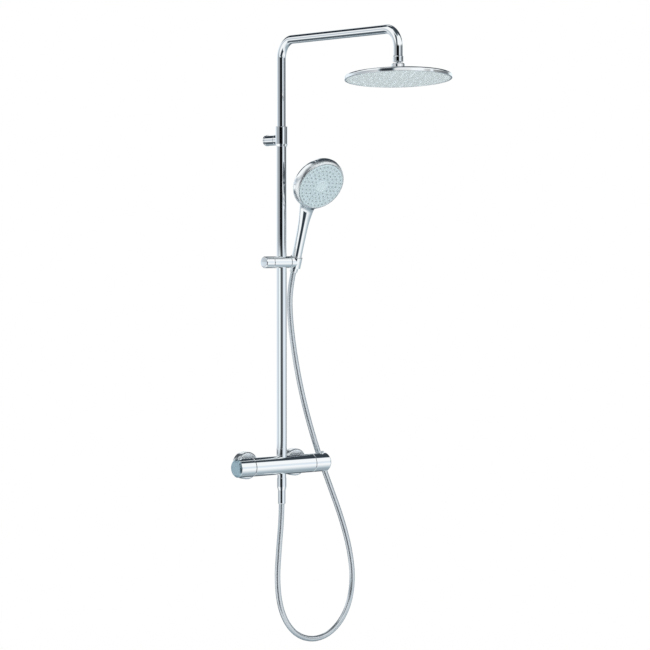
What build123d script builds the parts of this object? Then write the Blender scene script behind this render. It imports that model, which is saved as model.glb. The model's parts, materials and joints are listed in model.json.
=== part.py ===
from build123d import *
from math import cos, pi, radians, sin, sqrt, tan
import os

# Rainfall shower column: a thermostatic bar mixer on the wall carries a riser tube, a swivelling
# overhead arm with a tilting rain head, and a sliding holder with a hand shower on a hose.
# Millimetres. The origin is on the wall, midway between the two water inlets.
# +X is to the right when facing the wall, +Y goes into the wall and +Z is up.
os.makedirs("parts", exist_ok=True)

# Driving dimensions
AXIS_OUT = 60.0  # wall to the common plane of the mixer and the riser
INLET_SPACING = 150.0  # standard distance between the hot and cold inlets
BAR_R = 23.0  # mixer bar
BAR_HALF = 92.5
HANDLE_END = 141.0  # from the middle of the bar to a handle's end face
RISER_R = 12.5
ARM_R = 11.0
TUBE_WALL = 1.0
RISER_TOP = 811.5
ARM_Z = 1049.0  # centre line of the overhead arm
ARM_REACH = 450.0  # riser axis to the rain head's axis
ARM_BEND_R = 45.0
BRACKET_Z = 804.5
BALL_Z = 959.0  # centre of the rain head's ball joint
HEAD_R = 125.0
HEAD_LEAN = (-4.8, 2.4, 0.0)  # rest tilt of the rain head in its ball joint, degrees about X and Y
SLIDER_Z = 503.0
SLIDER_R = 14.5
SLIDER_FORWARD = 4.0  # slider bar's axis in front of the riser's
HOLDER_X = 40.0  # riser axis to the axis of the hand shower's cone
HAND_LEAN = 19.0  # hand shower from upright, degrees
HAND_HEAD_R = 67.5
HAND_FACE_S = 211.0  # from the holder along the handle to the middle of the spray face
HAND_FACE_OUT = 42.0  # spray face in front of the handle's axis
HAND_FACE_DROP = 11.0  # spray face below square to the handle, degrees
HAND_TURN = -4.5  # hand shower turned in its cup, degrees
HOSE_R = 7.0
HOSE_BORE_R = 4.0
THREAD_HALF_INCH_R = 10.48
THREAD_THREE_QUARTER_R = 13.2
FIT = 0.05  # running clearance on the radius

# The upright plane through the mixer and the riser: local x is along X and local y is along Z.
UPRIGHT = Plane.XZ.offset(AXIS_OUT)
MIXER_AXIS = Axis((0, -AXIS_OUT, 0), (1, 0, 0))
RISER_AXIS = Axis((0, -AXIS_OUT, 0), (0, 0, 1))
RISER_PLANE = Plane((0, -AXIS_OUT, 0))
INLETS = (-INLET_SPACING / 2, INLET_SPACING / 2)
SIDES = {"flow": -1, "temperature": 1}


def half_profile(plane, points):
    """A closed straight-sided section, to be turned about an axis in its plane."""
    with BuildSketch(plane) as section:
        with BuildLine():
            Polyline(*points, close=True)
        make_face()
    return section.sketch


def section_plane(frame):
    """The plane through a frame's z axis and its x axis, with local y along that z axis."""
    return Plane(origin=frame.origin, x_dir=frame.x_dir, z_dir=-frame.y_dir)


def ring_spots(rings):
    """Points spread evenly round rings, from pairs of radius and count."""
    return [
        (radius * cos(2 * pi * spot / count), radius * sin(2 * pi * spot / count))
        for radius, count in rings
        for spot in range(count)
    ]


def write(piece, name):
    """Label a finished piece and write it as its own STEP file."""
    piece.part.label = name
    export_step(piece.part, f"parts/{name}.step")


# Mixer body: a brass bar with a bore in each end, a riser seat on top, a hose outlet below
# and two inlet necks at the back, each with a collar for its coupling nut.
BORE_R = 17.0
BORE_END = 34.0
GALLERY_R = 6.0
RISER_SEAT_Z = 25.5
RISER_SEAT_R = 12.8
RISER_BORE_R = 9.0
OUTLET_SEAT_Z = -26.0
OUTLET_SEAT_R = 11.0
OUTLET_BORE_R = 8.0
NECK_R = 11.0
NECK_COLLAR_R = 12.8
NECK_COLLAR_Y = -31.0
NECK_END_Y = -28.0
INLET_BORE_R = 8.0
INLET_BORE_Y = -41.0
INLET_PORT_R = 5.0
EDGE = 0.6

with BuildPart() as mixer_body:
    revolve(
        half_profile(
            UPRIGHT,
            [
                (-BAR_HALF, 0),
                (-BAR_HALF, BAR_R - EDGE),
                (-BAR_HALF + EDGE, BAR_R),
                (BAR_HALF - EDGE, BAR_R),
                (BAR_HALF, BAR_R - EDGE),
                (BAR_HALF, 0),
            ],
        ),
        axis=MIXER_AXIS,
    )
    with BuildSketch(RISER_PLANE):
        Circle(RISER_SEAT_R)
    extrude(amount=RISER_SEAT_Z)
    with BuildSketch(RISER_PLANE):
        Circle(OUTLET_SEAT_R)
    extrude(amount=OUTLET_SEAT_Z)
    for x in INLETS:
        revolve(
            half_profile(
                Plane((x, 0, 0)),
                [
                    (0, -AXIS_OUT),
                    (NECK_R, -AXIS_OUT),
                    (NECK_R, NECK_COLLAR_Y),
                    (NECK_COLLAR_R, NECK_COLLAR_Y),
                    (NECK_COLLAR_R, NECK_END_Y),
                    (0, NECK_END_Y),
                ],
            ),
            axis=Axis((x, 0, 0), (0, 1, 0)),
        )
    for side in SIDES.values():
        revolve(
            half_profile(
                UPRIGHT,
                [
                    (side * BORE_END, 0),
                    (side * BORE_END, BORE_R),
                    (side * BAR_HALF, BORE_R),
                    (side * BAR_HALF, 0),
                ],
            ),
            axis=MIXER_AXIS,
            mode=Mode.SUBTRACT,
        )
    with BuildSketch(Plane((-BORE_END, -AXIS_OUT, 0), x_dir=(0, 1, 0), z_dir=(1, 0, 0))):
        Circle(GALLERY_R)
    extrude(amount=2 * BORE_END, mode=Mode.SUBTRACT)
    with BuildSketch(RISER_PLANE):
        Circle(RISER_BORE_R)
    extrude(amount=RISER_SEAT_Z, mode=Mode.SUBTRACT)
    with BuildSketch(RISER_PLANE):
        Circle(OUTLET_BORE_R)
    extrude(amount=OUTLET_SEAT_Z, mode=Mode.SUBTRACT)
    for x in INLETS:
        with BuildSketch(Plane((x, NECK_END_Y, 0), x_dir=(1, 0, 0), z_dir=(0, -1, 0))):
            Circle(INLET_BORE_R)
        extrude(amount=NECK_END_Y - INLET_BORE_Y, mode=Mode.SUBTRACT)
        with BuildSketch(Plane((x, NECK_END_Y, 0), x_dir=(1, 0, 0), z_dir=(0, -1, 0))):
            Circle(INLET_PORT_R)
        extrude(amount=NECK_END_Y + AXIS_OUT, mode=Mode.SUBTRACT)
write(mixer_body, "mixer_body")

# Wall inlets: a threaded union in the wall, a rosette over it, and a coupling nut that draws
# the mixer's neck on to it through a sealing washer with a strainer.
UNION_WALL_Y = 14.0
UNION_HEX_Y = -12.0
UNION_HEX_ACROSS = 27.0
UNION_END_Y = -26.0
UNION_BORE_R = 7.5
ROSETTE_R = 34.5
ROSETTE_DEPTH = 22.0
ROSETTE_WALL = 1.5
ROSETTE_CROWN = 3.0
ROSETTE_HOLE_R = 18.0
NUT_ACROSS = 30.0
NUT_FRONT_Y = -35.0
NUT_BACK_Y = -15.0
NUT_LIP_Y = NECK_COLLAR_Y

with BuildPart() as inlet_unions:
    for x in INLETS:
        revolve(
            half_profile(
                Plane((x, 0, 0)),
                [
                    (UNION_BORE_R, UNION_END_Y),
                    (THREAD_THREE_QUARTER_R, UNION_END_Y),
                    (THREAD_THREE_QUARTER_R, UNION_HEX_Y),
                    (THREAD_HALF_INCH_R, UNION_HEX_Y),
                    (THREAD_HALF_INCH_R, UNION_WALL_Y),
                    (UNION_BORE_R, UNION_WALL_Y),
                ],
            ),
            axis=Axis((x, 0, 0), (0, 1, 0)),
        )
        with BuildSketch(Plane((x, UNION_HEX_Y, 0), x_dir=(1, 0, 0), z_dir=(0, 1, 0))):
            RegularPolygon(UNION_HEX_ACROSS / sqrt(3), 6)
            Circle(THREAD_HALF_INCH_R, mode=Mode.SUBTRACT)
        extrude(amount=-UNION_HEX_Y / 2)
write(inlet_unions, "inlet_unions")

with BuildPart() as rosettes:
    for x in INLETS:
        revolve(
            half_profile(
                Plane((x, 0, 0)),
                [
                    (ROSETTE_R - ROSETTE_WALL, 0),
                    (ROSETTE_R, 0),
                    (ROSETTE_R, ROSETTE_CROWN - ROSETTE_DEPTH),
                    (ROSETTE_R - ROSETTE_CROWN, -ROSETTE_DEPTH),
                    (ROSETTE_HOLE_R, -ROSETTE_DEPTH),
                    (ROSETTE_HOLE_R, ROSETTE_WALL - ROSETTE_DEPTH),
                    (ROSETTE_R - ROSETTE_CROWN - EDGE, ROSETTE_WALL - ROSETTE_DEPTH),
                    (ROSETTE_R - ROSETTE_WALL, ROSETTE_CROWN - ROSETTE_DEPTH + EDGE),
                ],
            ),
            axis=Axis((x, 0, 0), (0, 1, 0)),
        )
write(rosettes, "rosettes")

with BuildPart() as coupling_nuts:
    for x in INLETS:
        with BuildSketch(Plane((x, NUT_FRONT_Y, 0), x_dir=(1, 0, 0), z_dir=(0, 1, 0))):
            RegularPolygon(NUT_ACROSS / sqrt(3), 6)
            Circle(NECK_R + 4 * FIT, mode=Mode.SUBTRACT)
        extrude(amount=NUT_LIP_Y - NUT_FRONT_Y)
        with BuildSketch(Plane((x, NUT_LIP_Y, 0), x_dir=(1, 0, 0), z_dir=(0, 1, 0))):
            RegularPolygon(NUT_ACROSS / sqrt(3), 6)
            Circle(THREAD_THREE_QUARTER_R + FIT, mode=Mode.SUBTRACT)
        extrude(amount=NUT_BACK_Y - NUT_LIP_Y)
write(coupling_nuts, "coupling_nuts")

with BuildPart() as strainer_washers:
    for x in INLETS:
        revolve(
            half_profile(
                Plane((x, 0, 0)),
                [
                    (0, NECK_END_Y),
                    (NECK_COLLAR_R, NECK_END_Y),
                    (NECK_COLLAR_R, UNION_END_Y),
                    (UNION_BORE_R, UNION_END_Y),
                    (UNION_BORE_R, NECK_END_Y + EDGE),
                    (0, NECK_END_Y + EDGE),
                ],
            ),
            axis=Axis((x, 0, 0), (0, 1, 0)),
        )
write(strainer_washers, "strainer_washers")

CHECK_VALVE_R = 7.9
CHECK_VALVE_BORE_R = 4.5
with BuildPart() as check_valves:
    for x in INLETS:
        revolve(
            half_profile(
                Plane((x, 0, 0)),
                [
                    (0, INLET_BORE_Y),
                    (CHECK_VALVE_R, INLET_BORE_Y),
                    (CHECK_VALVE_R, NECK_END_Y - EDGE),
                    (CHECK_VALVE_BORE_R, NECK_END_Y - EDGE),
                    (0, NECK_END_Y - CHECK_VALVE_R),
                ],
            ),
            axis=Axis((x, 0, 0), (0, 1, 0)),
        )
write(check_valves, "check_valves")

# Cartridges: the diverter valve sits in the left bore and the thermostat in the right one.
# Stations run outwards from the middle of the bar.
SPINDLE_R = 4.0
CARTRIDGE_R = BORE_R - 0.1
CARTRIDGE_NOSE_R = 12.0
CARTRIDGE_NECK_R = 10.0
CARTRIDGE_BODY = 46.0
GROOVE = (50.0, 53.0)
GROOVE_R = 15.4
CARTRIDGE_SHOULDER = 72.0
CARTRIDGE_END = 80.0
RETAINER_END = 82.0

for name, side in SIDES.items():
    with BuildPart() as cartridge:
        revolve(
            half_profile(
                UPRIGHT,
                [
                    (side * BORE_END, SPINDLE_R + FIT),
                    (side * BORE_END, CARTRIDGE_NOSE_R),
                    (side * CARTRIDGE_BODY, CARTRIDGE_NOSE_R),
                    (side * CARTRIDGE_BODY, CARTRIDGE_R),
                    (side * GROOVE[0], CARTRIDGE_R),
                    (side * GROOVE[0], GROOVE_R),
                    (side * GROOVE[1], GROOVE_R),
                    (side * GROOVE[1], CARTRIDGE_R),
                    (side * CARTRIDGE_SHOULDER, CARTRIDGE_R),
                    (side * CARTRIDGE_SHOULDER, CARTRIDGE_NECK_R),
                    (side * CARTRIDGE_END, CARTRIDGE_NECK_R),
                    (side * CARTRIDGE_END, SPINDLE_R + FIT),
                ],
            ),
            axis=MIXER_AXIS,
        )
    write(cartridge, "diverter_cartridge" if side < 0 else "thermostat_cartridge")

with BuildPart() as cartridge_o_rings:
    for side in SIDES.values():
        with BuildSketch(UPRIGHT) as cord:
            with Locations((side * sum(GROOVE) / 2, (GROOVE_R + CARTRIDGE_R) / 2)):
                Circle((CARTRIDGE_R - GROOVE_R) / 2)
        revolve(cord.sketch, axis=MIXER_AXIS)
write(cartridge_o_rings, "cartridge_o_rings")

with BuildPart() as cartridge_retainers:
    for side in SIDES.values():
        revolve(
            half_profile(
                UPRIGHT,
                [
                    (side * CARTRIDGE_SHOULDER, CARTRIDGE_NECK_R + 4 * FIT),
                    (side * CARTRIDGE_SHOULDER, CARTRIDGE_R),
                    (side * RETAINER_END, CARTRIDGE_R),
                    (side * RETAINER_END, CARTRIDGE_NECK_R + 4 * FIT),
                ],
            ),
            axis=MIXER_AXIS,
        )
write(cartridge_retainers, "cartridge_retainers")

# The stop ring sets the hot limit: a lug on it stands into the temperature handle.
STOP_RING_IN_R = 12.5
STOP_LUG = (7.0, 3.0, 3.5)  # width, height and how far it stands out of the bar
with BuildPart() as stop_ring:
    revolve(
        half_profile(
            UPRIGHT,
            [
                (RETAINER_END, STOP_RING_IN_R),
                (RETAINER_END, CARTRIDGE_R),
                (BAR_HALF, CARTRIDGE_R),
                (BAR_HALF, STOP_RING_IN_R),
            ],
        ),
        axis=MIXER_AXIS,
    )
    with BuildSketch(Plane((BAR_HALF, -AXIS_OUT, 0), x_dir=(0, 1, 0), z_dir=(1, 0, 0))):
        with Locations((0, -(STOP_RING_IN_R + CARTRIDGE_R) / 2)):
            Rectangle(STOP_LUG[0], STOP_LUG[1])
    extrude(amount=STOP_LUG[2])
write(stop_ring, "temperature_stop_ring")

# Handles: each is a deep cup with a hub on the cartridge's spindle, a screw and a cap in its end,
# and a sprung button in its top. Stations run outwards from the middle of the bar.
HANDLE_START = 93.0
HANDLE_IN_R = 19.0
HANDLE_FACE_R = 19.0
HANDLE_CHAMFER = 4.5
HANDLE_FLOOR = 134.0
HUB_START = 100.0
HUB_R = 8.0
SPINDLE_START = 50.0
SPINDLE_END = 129.9
SPINDLE_TAP_START = 112.0
SPINDLE_TAP_R = 1.9
CAP_R = 17.0
CAP_SEAT = 137.0
CAP_WALL = 1.8
SCREW_R = 1.85
SCREW_HEAD_R = 3.5
SCREW_HEAD_END = 139.0
SCREW_HOLE_R = 2.2
BUTTON_AT = 127.0
BUTTON_R = 4.5
BUTTON_TOP = 28.3
BUTTON_FLANGE_R = 6.0
BUTTON_FLANGE = (15.9, 17.9)
SPRING_R = (2.8, 3.8)

for name, side in SIDES.items():
    with BuildPart() as handle:
        revolve(
            half_profile(
                UPRIGHT,
                [
                    (side * HANDLE_START, HANDLE_IN_R),
                    (side * HANDLE_START, BAR_R - EDGE),
                    (side * (HANDLE_START + EDGE), BAR_R),
                    (side * (HANDLE_END - HANDLE_CHAMFER), BAR_R),
                    (side * HANDLE_END, HANDLE_FACE_R),
                    (side * HANDLE_END, CAP_R),
                    (side * CAP_SEAT, CAP_R),
                    (side * CAP_SEAT, SCREW_HOLE_R),
                    (side * SPINDLE_END, SCREW_HOLE_R),
                    (side * SPINDLE_END, SPINDLE_R),
                    (side * HUB_START, SPINDLE_R),
                    (side * HUB_START, HUB_R),
                    (side * HANDLE_FLOOR, HUB_R),
                    (side * HANDLE_FLOOR, HANDLE_IN_R),
                ],
            ),
            axis=MIXER_AXIS,
        )
        with BuildSketch(Plane((side * BUTTON_AT, -AXIS_OUT, BUTTON_FLANGE[0]))):
            Circle(BUTTON_R + 2 * FIT)
        extrude(amount=BUTTON_TOP - BUTTON_FLANGE[0], mode=Mode.SUBTRACT)
    write(handle, f"{name}_handle")

    with BuildPart() as spindle:
        revolve(
            half_profile(
                UPRIGHT,
                [
                    (side * SPINDLE_START, 0),
                    (side * SPINDLE_START, SPINDLE_R),
                    (side * SPINDLE_END, SPINDLE_R),
                    (side * SPINDLE_END, SPINDLE_TAP_R),
                    (side * SPINDLE_TAP_START, SPINDLE_TAP_R),
                    (side * SPINDLE_TAP_START, 0),
                ],
            ),
            axis=MIXER_AXIS,
        )
    write(spindle, f"{name}_spindle")

    with BuildPart() as handle_screw:
        revolve(
            half_profile(
                UPRIGHT,
                [
                    (side * (SPINDLE_TAP_START + EDGE), 0),
                    (side * (SPINDLE_TAP_START + EDGE), SCREW_R),
                    (side * CAP_SEAT, SCREW_R),
                    (side * CAP_SEAT, SCREW_HEAD_R),
                    (side * SCREW_HEAD_END, SCREW_HEAD_R),
                    (side * SCREW_HEAD_END, 0),
                ],
            ),
            axis=MIXER_AXIS,
        )
    write(handle_screw, f"{name}_handle_screw")

    with BuildPart() as handle_cap:
        revolve(
            half_profile(
                UPRIGHT,
                [
                    (side * HANDLE_END, 0),
                    (side * HANDLE_END, CAP_R - FIT),
                    (side * CAP_SEAT, CAP_R - FIT),
                    (side * CAP_SEAT, CAP_R - CAP_WALL),
                    (side * (HANDLE_END - CAP_WALL), CAP_R - CAP_WALL),
                    (side * (HANDLE_END - CAP_WALL), 0),
                ],
            ),
            axis=MIXER_AXIS,
        )
    write(handle_cap, f"{name}_handle_cap")

    button_axis = Axis((side * BUTTON_AT, -AXIS_OUT, 0), (0, 0, 1))
    button_plane = Plane.XZ.offset(AXIS_OUT).shift_origin((side * BUTTON_AT, -AXIS_OUT, 0))
    with BuildPart() as button:
        revolve(
            half_profile(
                button_plane,
                [
                    (0, BUTTON_FLANGE[0]),
                    (BUTTON_FLANGE_R, BUTTON_FLANGE[0]),
                    (BUTTON_FLANGE_R, BUTTON_FLANGE[1]),
                    (BUTTON_R, BUTTON_FLANGE[1]),
                    (BUTTON_R, BUTTON_TOP - EDGE),
                    (BUTTON_R - EDGE, BUTTON_TOP),
                    (0, BUTTON_TOP),
                ],
            ),
            axis=button_axis,
        )
    write(button, "eco_button" if side < 0 else "safety_button")

    with BuildPart() as spring:
        revolve(
            half_profile(
                button_plane,
                [
                    (SPRING_R[0], HUB_R),
                    (SPRING_R[1], HUB_R),
                    (SPRING_R[1], BUTTON_FLANGE[0]),
                    (SPRING_R[0], BUTTON_FLANGE[0]),
                ],
            ),
            axis=button_axis,
        )
    write(spring, "eco_spring" if side < 0 else "safety_spring")

# Riser: a nipple screwed into the mixer carries the tube on two O-rings, under a plain sleeve nut.
NIPPLE_LOW_Z = 12.0
NIPPLE_FLANGE_Z = 27.5
NIPPLE_TOP_Z = 58.0
NIPPLE_BORE_R = 6.0
NIPPLE_FLANGE_R = 12.4
RISER_IN_R = RISER_R - TUBE_WALL
RISER_RINGS_Z = (38.0, 48.0)
RING_CORD_R = 0.75
RISER_NUT_R = 13.2
RISER_NUT_TOP_Z = 42.5


def grooved_side(radius, low, high, groove_heights):
    """Points up a cylinder's side with a square groove for an O-ring at each height."""
    side = [(radius, low)]
    for height in groove_heights:
        side += [
            (radius, height - RING_CORD_R),
            (radius - 2 * RING_CORD_R, height - RING_CORD_R),
            (radius - 2 * RING_CORD_R, height + RING_CORD_R),
            (radius, height + RING_CORD_R),
        ]
    return side + [(radius, high)]


def o_rings(radius, heights):
    """Round rings about the riser's axis that fill grooves of a cylinder of this radius."""
    with BuildPart() as rings:
        for height in heights:
            with BuildSketch(UPRIGHT) as cord:
                with Locations((radius - RING_CORD_R, height)):
                    Circle(RING_CORD_R)
            revolve(cord.sketch, axis=RISER_AXIS)
    return rings


with BuildPart() as riser_nipple:
    revolve(
        half_profile(
            UPRIGHT,
            [
                (NIPPLE_BORE_R, NIPPLE_LOW_Z),
                (RISER_BORE_R - FIT, NIPPLE_LOW_Z),
                (RISER_BORE_R - FIT, RISER_SEAT_Z),
                (NIPPLE_FLANGE_R, RISER_SEAT_Z),
                (NIPPLE_FLANGE_R, NIPPLE_FLANGE_Z),
                *grooved_side(RISER_IN_R - FIT, NIPPLE_FLANGE_Z, NIPPLE_TOP_Z, RISER_RINGS_Z),
                (NIPPLE_BORE_R, NIPPLE_TOP_Z),
            ],
        ),
        axis=RISER_AXIS,
    )
write(riser_nipple, "riser_nipple")

riser_o_rings = o_rings(RISER_IN_R - FIT, RISER_RINGS_Z)
write(riser_o_rings, "riser_o_rings")

with BuildPart() as riser_nut:
    revolve(
        half_profile(
            UPRIGHT,
            [
                (RISER_R + FIT, RISER_SEAT_Z),
                (RISER_NUT_R, RISER_SEAT_Z),
                (RISER_NUT_R, RISER_NUT_TOP_Z - EDGE),
                (RISER_NUT_R - EDGE, RISER_NUT_TOP_Z),
                (RISER_R + FIT, RISER_NUT_TOP_Z),
            ],
        ),
        axis=RISER_AXIS,
    )
write(riser_nut, "riser_nut")

with BuildPart() as riser_tube:
    with BuildSketch(RISER_PLANE.offset(NIPPLE_FLANGE_Z)):
        Circle(RISER_R)
        Circle(RISER_IN_R, mode=Mode.SUBTRACT)
    extrude(amount=RISER_TOP - NIPPLE_FLANGE_Z)
write(riser_tube, "riser_tube")

# Wall bracket: a collar joins the riser to the arm, and a stem holds it off the wall.
COLLAR_R = 15.0
COLLAR_LOW_R = 13.4
COLLAR_Z = (788.0, 837.0)
COLLAR_TAPER = 6.0
COLLAR_LIP = 3.0
COLLAR_BORE_R = RISER_R + FIT
COLLAR_MOUTH_R = ARM_R + 4 * FIT
STEM_R = 13.2
STEM_FRONT_Y = -42.0
STEM_GROOVE = 2.0
STEM_ROD_R = 4.0
STEM_ROD_Y = -47.0
STEM_POCKET_Y = -32.0
BASE_R = 13.8
BASE_DEPTH = 5.0
BASE_BOSS_R = 9.5
BASE_BOSS_Y = -18.0
WALL_SCREW_R = 2.6
SCREW_HEAD_R = 5.5
SCREW_HEAD_Y = -9.0
BASE_GRUB_R = 2.0
BASE_GRUB_Y = -12.0
BASE_GRUB_TOP = 8.6
BASE_GRUB_LOW = 12.6
GRUB_R = 2.5
GRUB_Z = 823.0
GRUB_OUT = 2.6

with BuildPart() as bracket_collar:
    revolve(
        half_profile(
            UPRIGHT,
            [
                (0, COLLAR_Z[0]),
                (COLLAR_LOW_R, COLLAR_Z[0]),
                (COLLAR_R, COLLAR_Z[0] + COLLAR_TAPER),
                (COLLAR_R, COLLAR_Z[1] - EDGE),
                (COLLAR_R - EDGE, COLLAR_Z[1]),
                (0, COLLAR_Z[1]),
            ],
        ),
        axis=RISER_AXIS,
    )
    with BuildSketch(Plane((0, -AXIS_OUT, BRACKET_Z), x_dir=(1, 0, 0), z_dir=(0, 1, 0))):
        Circle(STEM_R)
    extrude(amount=STEM_FRONT_Y + AXIS_OUT)
    revolve(
        half_profile(
            UPRIGHT,
            [
                (0, COLLAR_Z[0]),
                (COLLAR_BORE_R, COLLAR_Z[0]),
                (COLLAR_BORE_R, COLLAR_Z[1] - COLLAR_LIP),
                (COLLAR_MOUTH_R, COLLAR_Z[1] - COLLAR_LIP),
                (COLLAR_MOUTH_R, COLLAR_Z[1]),
                (0, COLLAR_Z[1]),
            ],
        ),
        axis=RISER_AXIS,
        mode=Mode.SUBTRACT,
    )
    with BuildSketch(Plane((0, STEM_FRONT_Y, BRACKET_Z), x_dir=(1, 0, 0), z_dir=(0, -1, 0))):
        Circle(STEM_ROD_R + FIT)
    extrude(amount=STEM_FRONT_Y - STEM_ROD_Y, mode=Mode.SUBTRACT)
    with BuildSketch(Plane((0, -AXIS_OUT, GRUB_Z), x_dir=(1, 0, 0), z_dir=(0, 1, 0))):
        Circle(GRUB_R + FIT)
    extrude(amount=COLLAR_R, mode=Mode.SUBTRACT)
write(bracket_collar, "bracket_collar")

with BuildPart() as collar_grub_screw:
    with BuildSketch(
        Plane((0, -AXIS_OUT + COLLAR_BORE_R, GRUB_Z), x_dir=(1, 0, 0), z_dir=(0, 1, 0))
    ):
        Circle(GRUB_R)
    extrude(amount=GRUB_OUT)
    with BuildSketch(
        Plane((0, -AXIS_OUT + COLLAR_BORE_R + GRUB_OUT, GRUB_Z), x_dir=(1, 0, 0), z_dir=(0, 1, 0))
    ):
        RegularPolygon(GRUB_R / 2, 6)
    extrude(amount=-GRUB_OUT / 2, mode=Mode.SUBTRACT)
write(collar_grub_screw, "collar_grub_screw")

with BuildPart() as arm_guide_bush:
    with BuildSketch(RISER_PLANE.offset(RISER_TOP)):
        Circle(RISER_R)
        Circle(ARM_R + FIT, mode=Mode.SUBTRACT)
    extrude(amount=COLLAR_Z[1] - COLLAR_LIP - RISER_TOP)
write(arm_guide_bush, "arm_guide_bush")

bracket_axis = Axis((0, 0, BRACKET_Z), (0, 1, 0))
bracket_plane = Plane((0, 0, BRACKET_Z))
grub_plane = Plane((0, BASE_GRUB_Y, BRACKET_Z), x_dir=(1, 0, 0), z_dir=(0, 0, -1))
with BuildPart() as bracket_stem:
    revolve(
        half_profile(
            bracket_plane,
            [
                (0, STEM_ROD_Y),
                (STEM_ROD_R, STEM_ROD_Y),
                (STEM_ROD_R, STEM_FRONT_Y),
                (STEM_R - EDGE, STEM_FRONT_Y),
                (STEM_R - EDGE, STEM_FRONT_Y + STEM_GROOVE),
                (STEM_R, STEM_FRONT_Y + STEM_GROOVE),
                (STEM_R, -BASE_DEPTH),
                (BASE_BOSS_R + FIT, -BASE_DEPTH),
                (BASE_BOSS_R + FIT, STEM_POCKET_Y),
                (0, STEM_POCKET_Y),
            ],
        ),
        axis=bracket_axis,
    )
    with BuildSketch(grub_plane):
        Circle(BASE_GRUB_R + FIT)
    extrude(amount=STEM_R, mode=Mode.SUBTRACT)
write(bracket_stem, "bracket_stem")

with BuildPart() as bracket_base:
    revolve(
        half_profile(
            bracket_plane,
            [
                (WALL_SCREW_R, 0),
                (BASE_R, 0),
                (BASE_R, EDGE - BASE_DEPTH),
                (BASE_R - EDGE, -BASE_DEPTH),
                (BASE_BOSS_R, -BASE_DEPTH),
                (BASE_BOSS_R, BASE_BOSS_Y),
                (SCREW_HEAD_R, BASE_BOSS_Y),
                (SCREW_HEAD_R, SCREW_HEAD_Y),
                (WALL_SCREW_R, SCREW_HEAD_Y),
            ],
        ),
        axis=bracket_axis,
    )
    with BuildSketch(grub_plane):
        Circle(BASE_GRUB_R + FIT)
    extrude(amount=BASE_R, mode=Mode.SUBTRACT)
write(bracket_base, "bracket_base")

with BuildPart() as bracket_grub_screw:
    with BuildSketch(grub_plane.offset(BASE_GRUB_TOP)):
        Circle(BASE_GRUB_R)
    extrude(amount=BASE_GRUB_LOW - BASE_GRUB_TOP)
    with BuildSketch(grub_plane.offset(BASE_GRUB_LOW)):
        RegularPolygon(BASE_GRUB_R / 2, 6)
    extrude(amount=-BASE_GRUB_R, mode=Mode.SUBTRACT)
write(bracket_grub_screw, "bracket_grub_screw")

# Overhead arm: one bent tube that turns in the riser's top on a sealed carrier.
ARM_LOW_Z = 772.0
ARM_END_Z = BALL_Z + 25.0
CARRIER_LOW_Z = 740.0
CARRIER_TOP_Z = 786.0
CARRIER_BORE_R = 8.0
CARRIER_RINGS_Z = (748.0, 760.0)
HEAD_Y = -AXIS_OUT - ARM_REACH
ARM_IN_R = ARM_R - TUBE_WALL

with BuildPart() as shower_arm:
    with BuildLine() as arm_path:
        FilletPolyline(
            (0, -AXIS_OUT, ARM_LOW_Z),
            (0, -AXIS_OUT, ARM_Z),
            (0, HEAD_Y, ARM_Z),
            (0, HEAD_Y, ARM_END_Z),
            radius=ARM_BEND_R,
        )
    with BuildSketch(RISER_PLANE.offset(ARM_LOW_Z)):
        Circle(ARM_R)
        Circle(ARM_IN_R, mode=Mode.SUBTRACT)
    sweep(path=arm_path.line)
write(shower_arm, "shower_arm")

with BuildPart() as arm_seal_carrier:
    revolve(
        half_profile(
            UPRIGHT,
            [
                (CARRIER_BORE_R, CARRIER_LOW_Z),
                *grooved_side(RISER_IN_R - FIT, CARRIER_LOW_Z, ARM_LOW_Z, CARRIER_RINGS_Z),
                (ARM_IN_R - FIT, ARM_LOW_Z),
                (ARM_IN_R - FIT, CARRIER_TOP_Z),
                (CARRIER_BORE_R, CARRIER_TOP_Z),
            ],
        ),
        axis=RISER_AXIS,
    )
write(arm_seal_carrier, "arm_seal_carrier")

arm_o_rings = o_rings(RISER_IN_R - FIT, CARRIER_RINGS_Z)
write(arm_o_rings, "arm_o_rings")

# Ball joint: the ball hangs from a collar on the arm's end. A split seat holds it in the head's cap.
BALL_R = 9.5
BALL_NECK_R = 6.5
BALL_BORE_R = 4.0
BALL_GAP = 0.3
BALL_COLLAR_R = 12.5
BALL_COLLAR_LOW = 11.5  # above the ball's centre
BALL_SPIGOT_TOP = 38.0
SEAT_IN_R = BALL_R + BALL_GAP
SEAT_OUT_R = 12.0
SEAT_HIGH = 4.5
SEAT_LOW = -5.0


def on_sphere(radius, height):
    """A point of a half profile on a sphere about the ball's centre."""
    return (sqrt(radius**2 - height**2), height)


BALL = Plane((0, HEAD_Y, BALL_Z))
BALL_SECTION = section_plane(BALL)
with BuildPart() as ball_nut:
    with BuildSketch(BALL_SECTION) as section:
        with BuildLine():
            ball_bottom = (BALL_BORE_R, -sqrt(BALL_R**2 - BALL_BORE_R**2))
            ball_top = (BALL_NECK_R, sqrt(BALL_R**2 - BALL_NECK_R**2))
            ThreePointArc(ball_bottom, (BALL_R, 0), ball_top)
            Polyline(
                ball_top,
                (BALL_NECK_R, BALL_COLLAR_LOW),
                (BALL_COLLAR_R - 2 * EDGE, BALL_COLLAR_LOW),
                (BALL_COLLAR_R, BALL_COLLAR_LOW + 2 * EDGE),
                (BALL_COLLAR_R, ARM_END_Z - BALL_Z),
                (ARM_IN_R - FIT, ARM_END_Z - BALL_Z),
                (ARM_IN_R - FIT, BALL_SPIGOT_TOP),
                (BALL_BORE_R, BALL_SPIGOT_TOP),
                ball_bottom,
            )
        make_face()
    revolve(section.sketch, axis=Axis(BALL.origin, BALL.z_dir))
write(ball_nut, "ball_nut")

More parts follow.
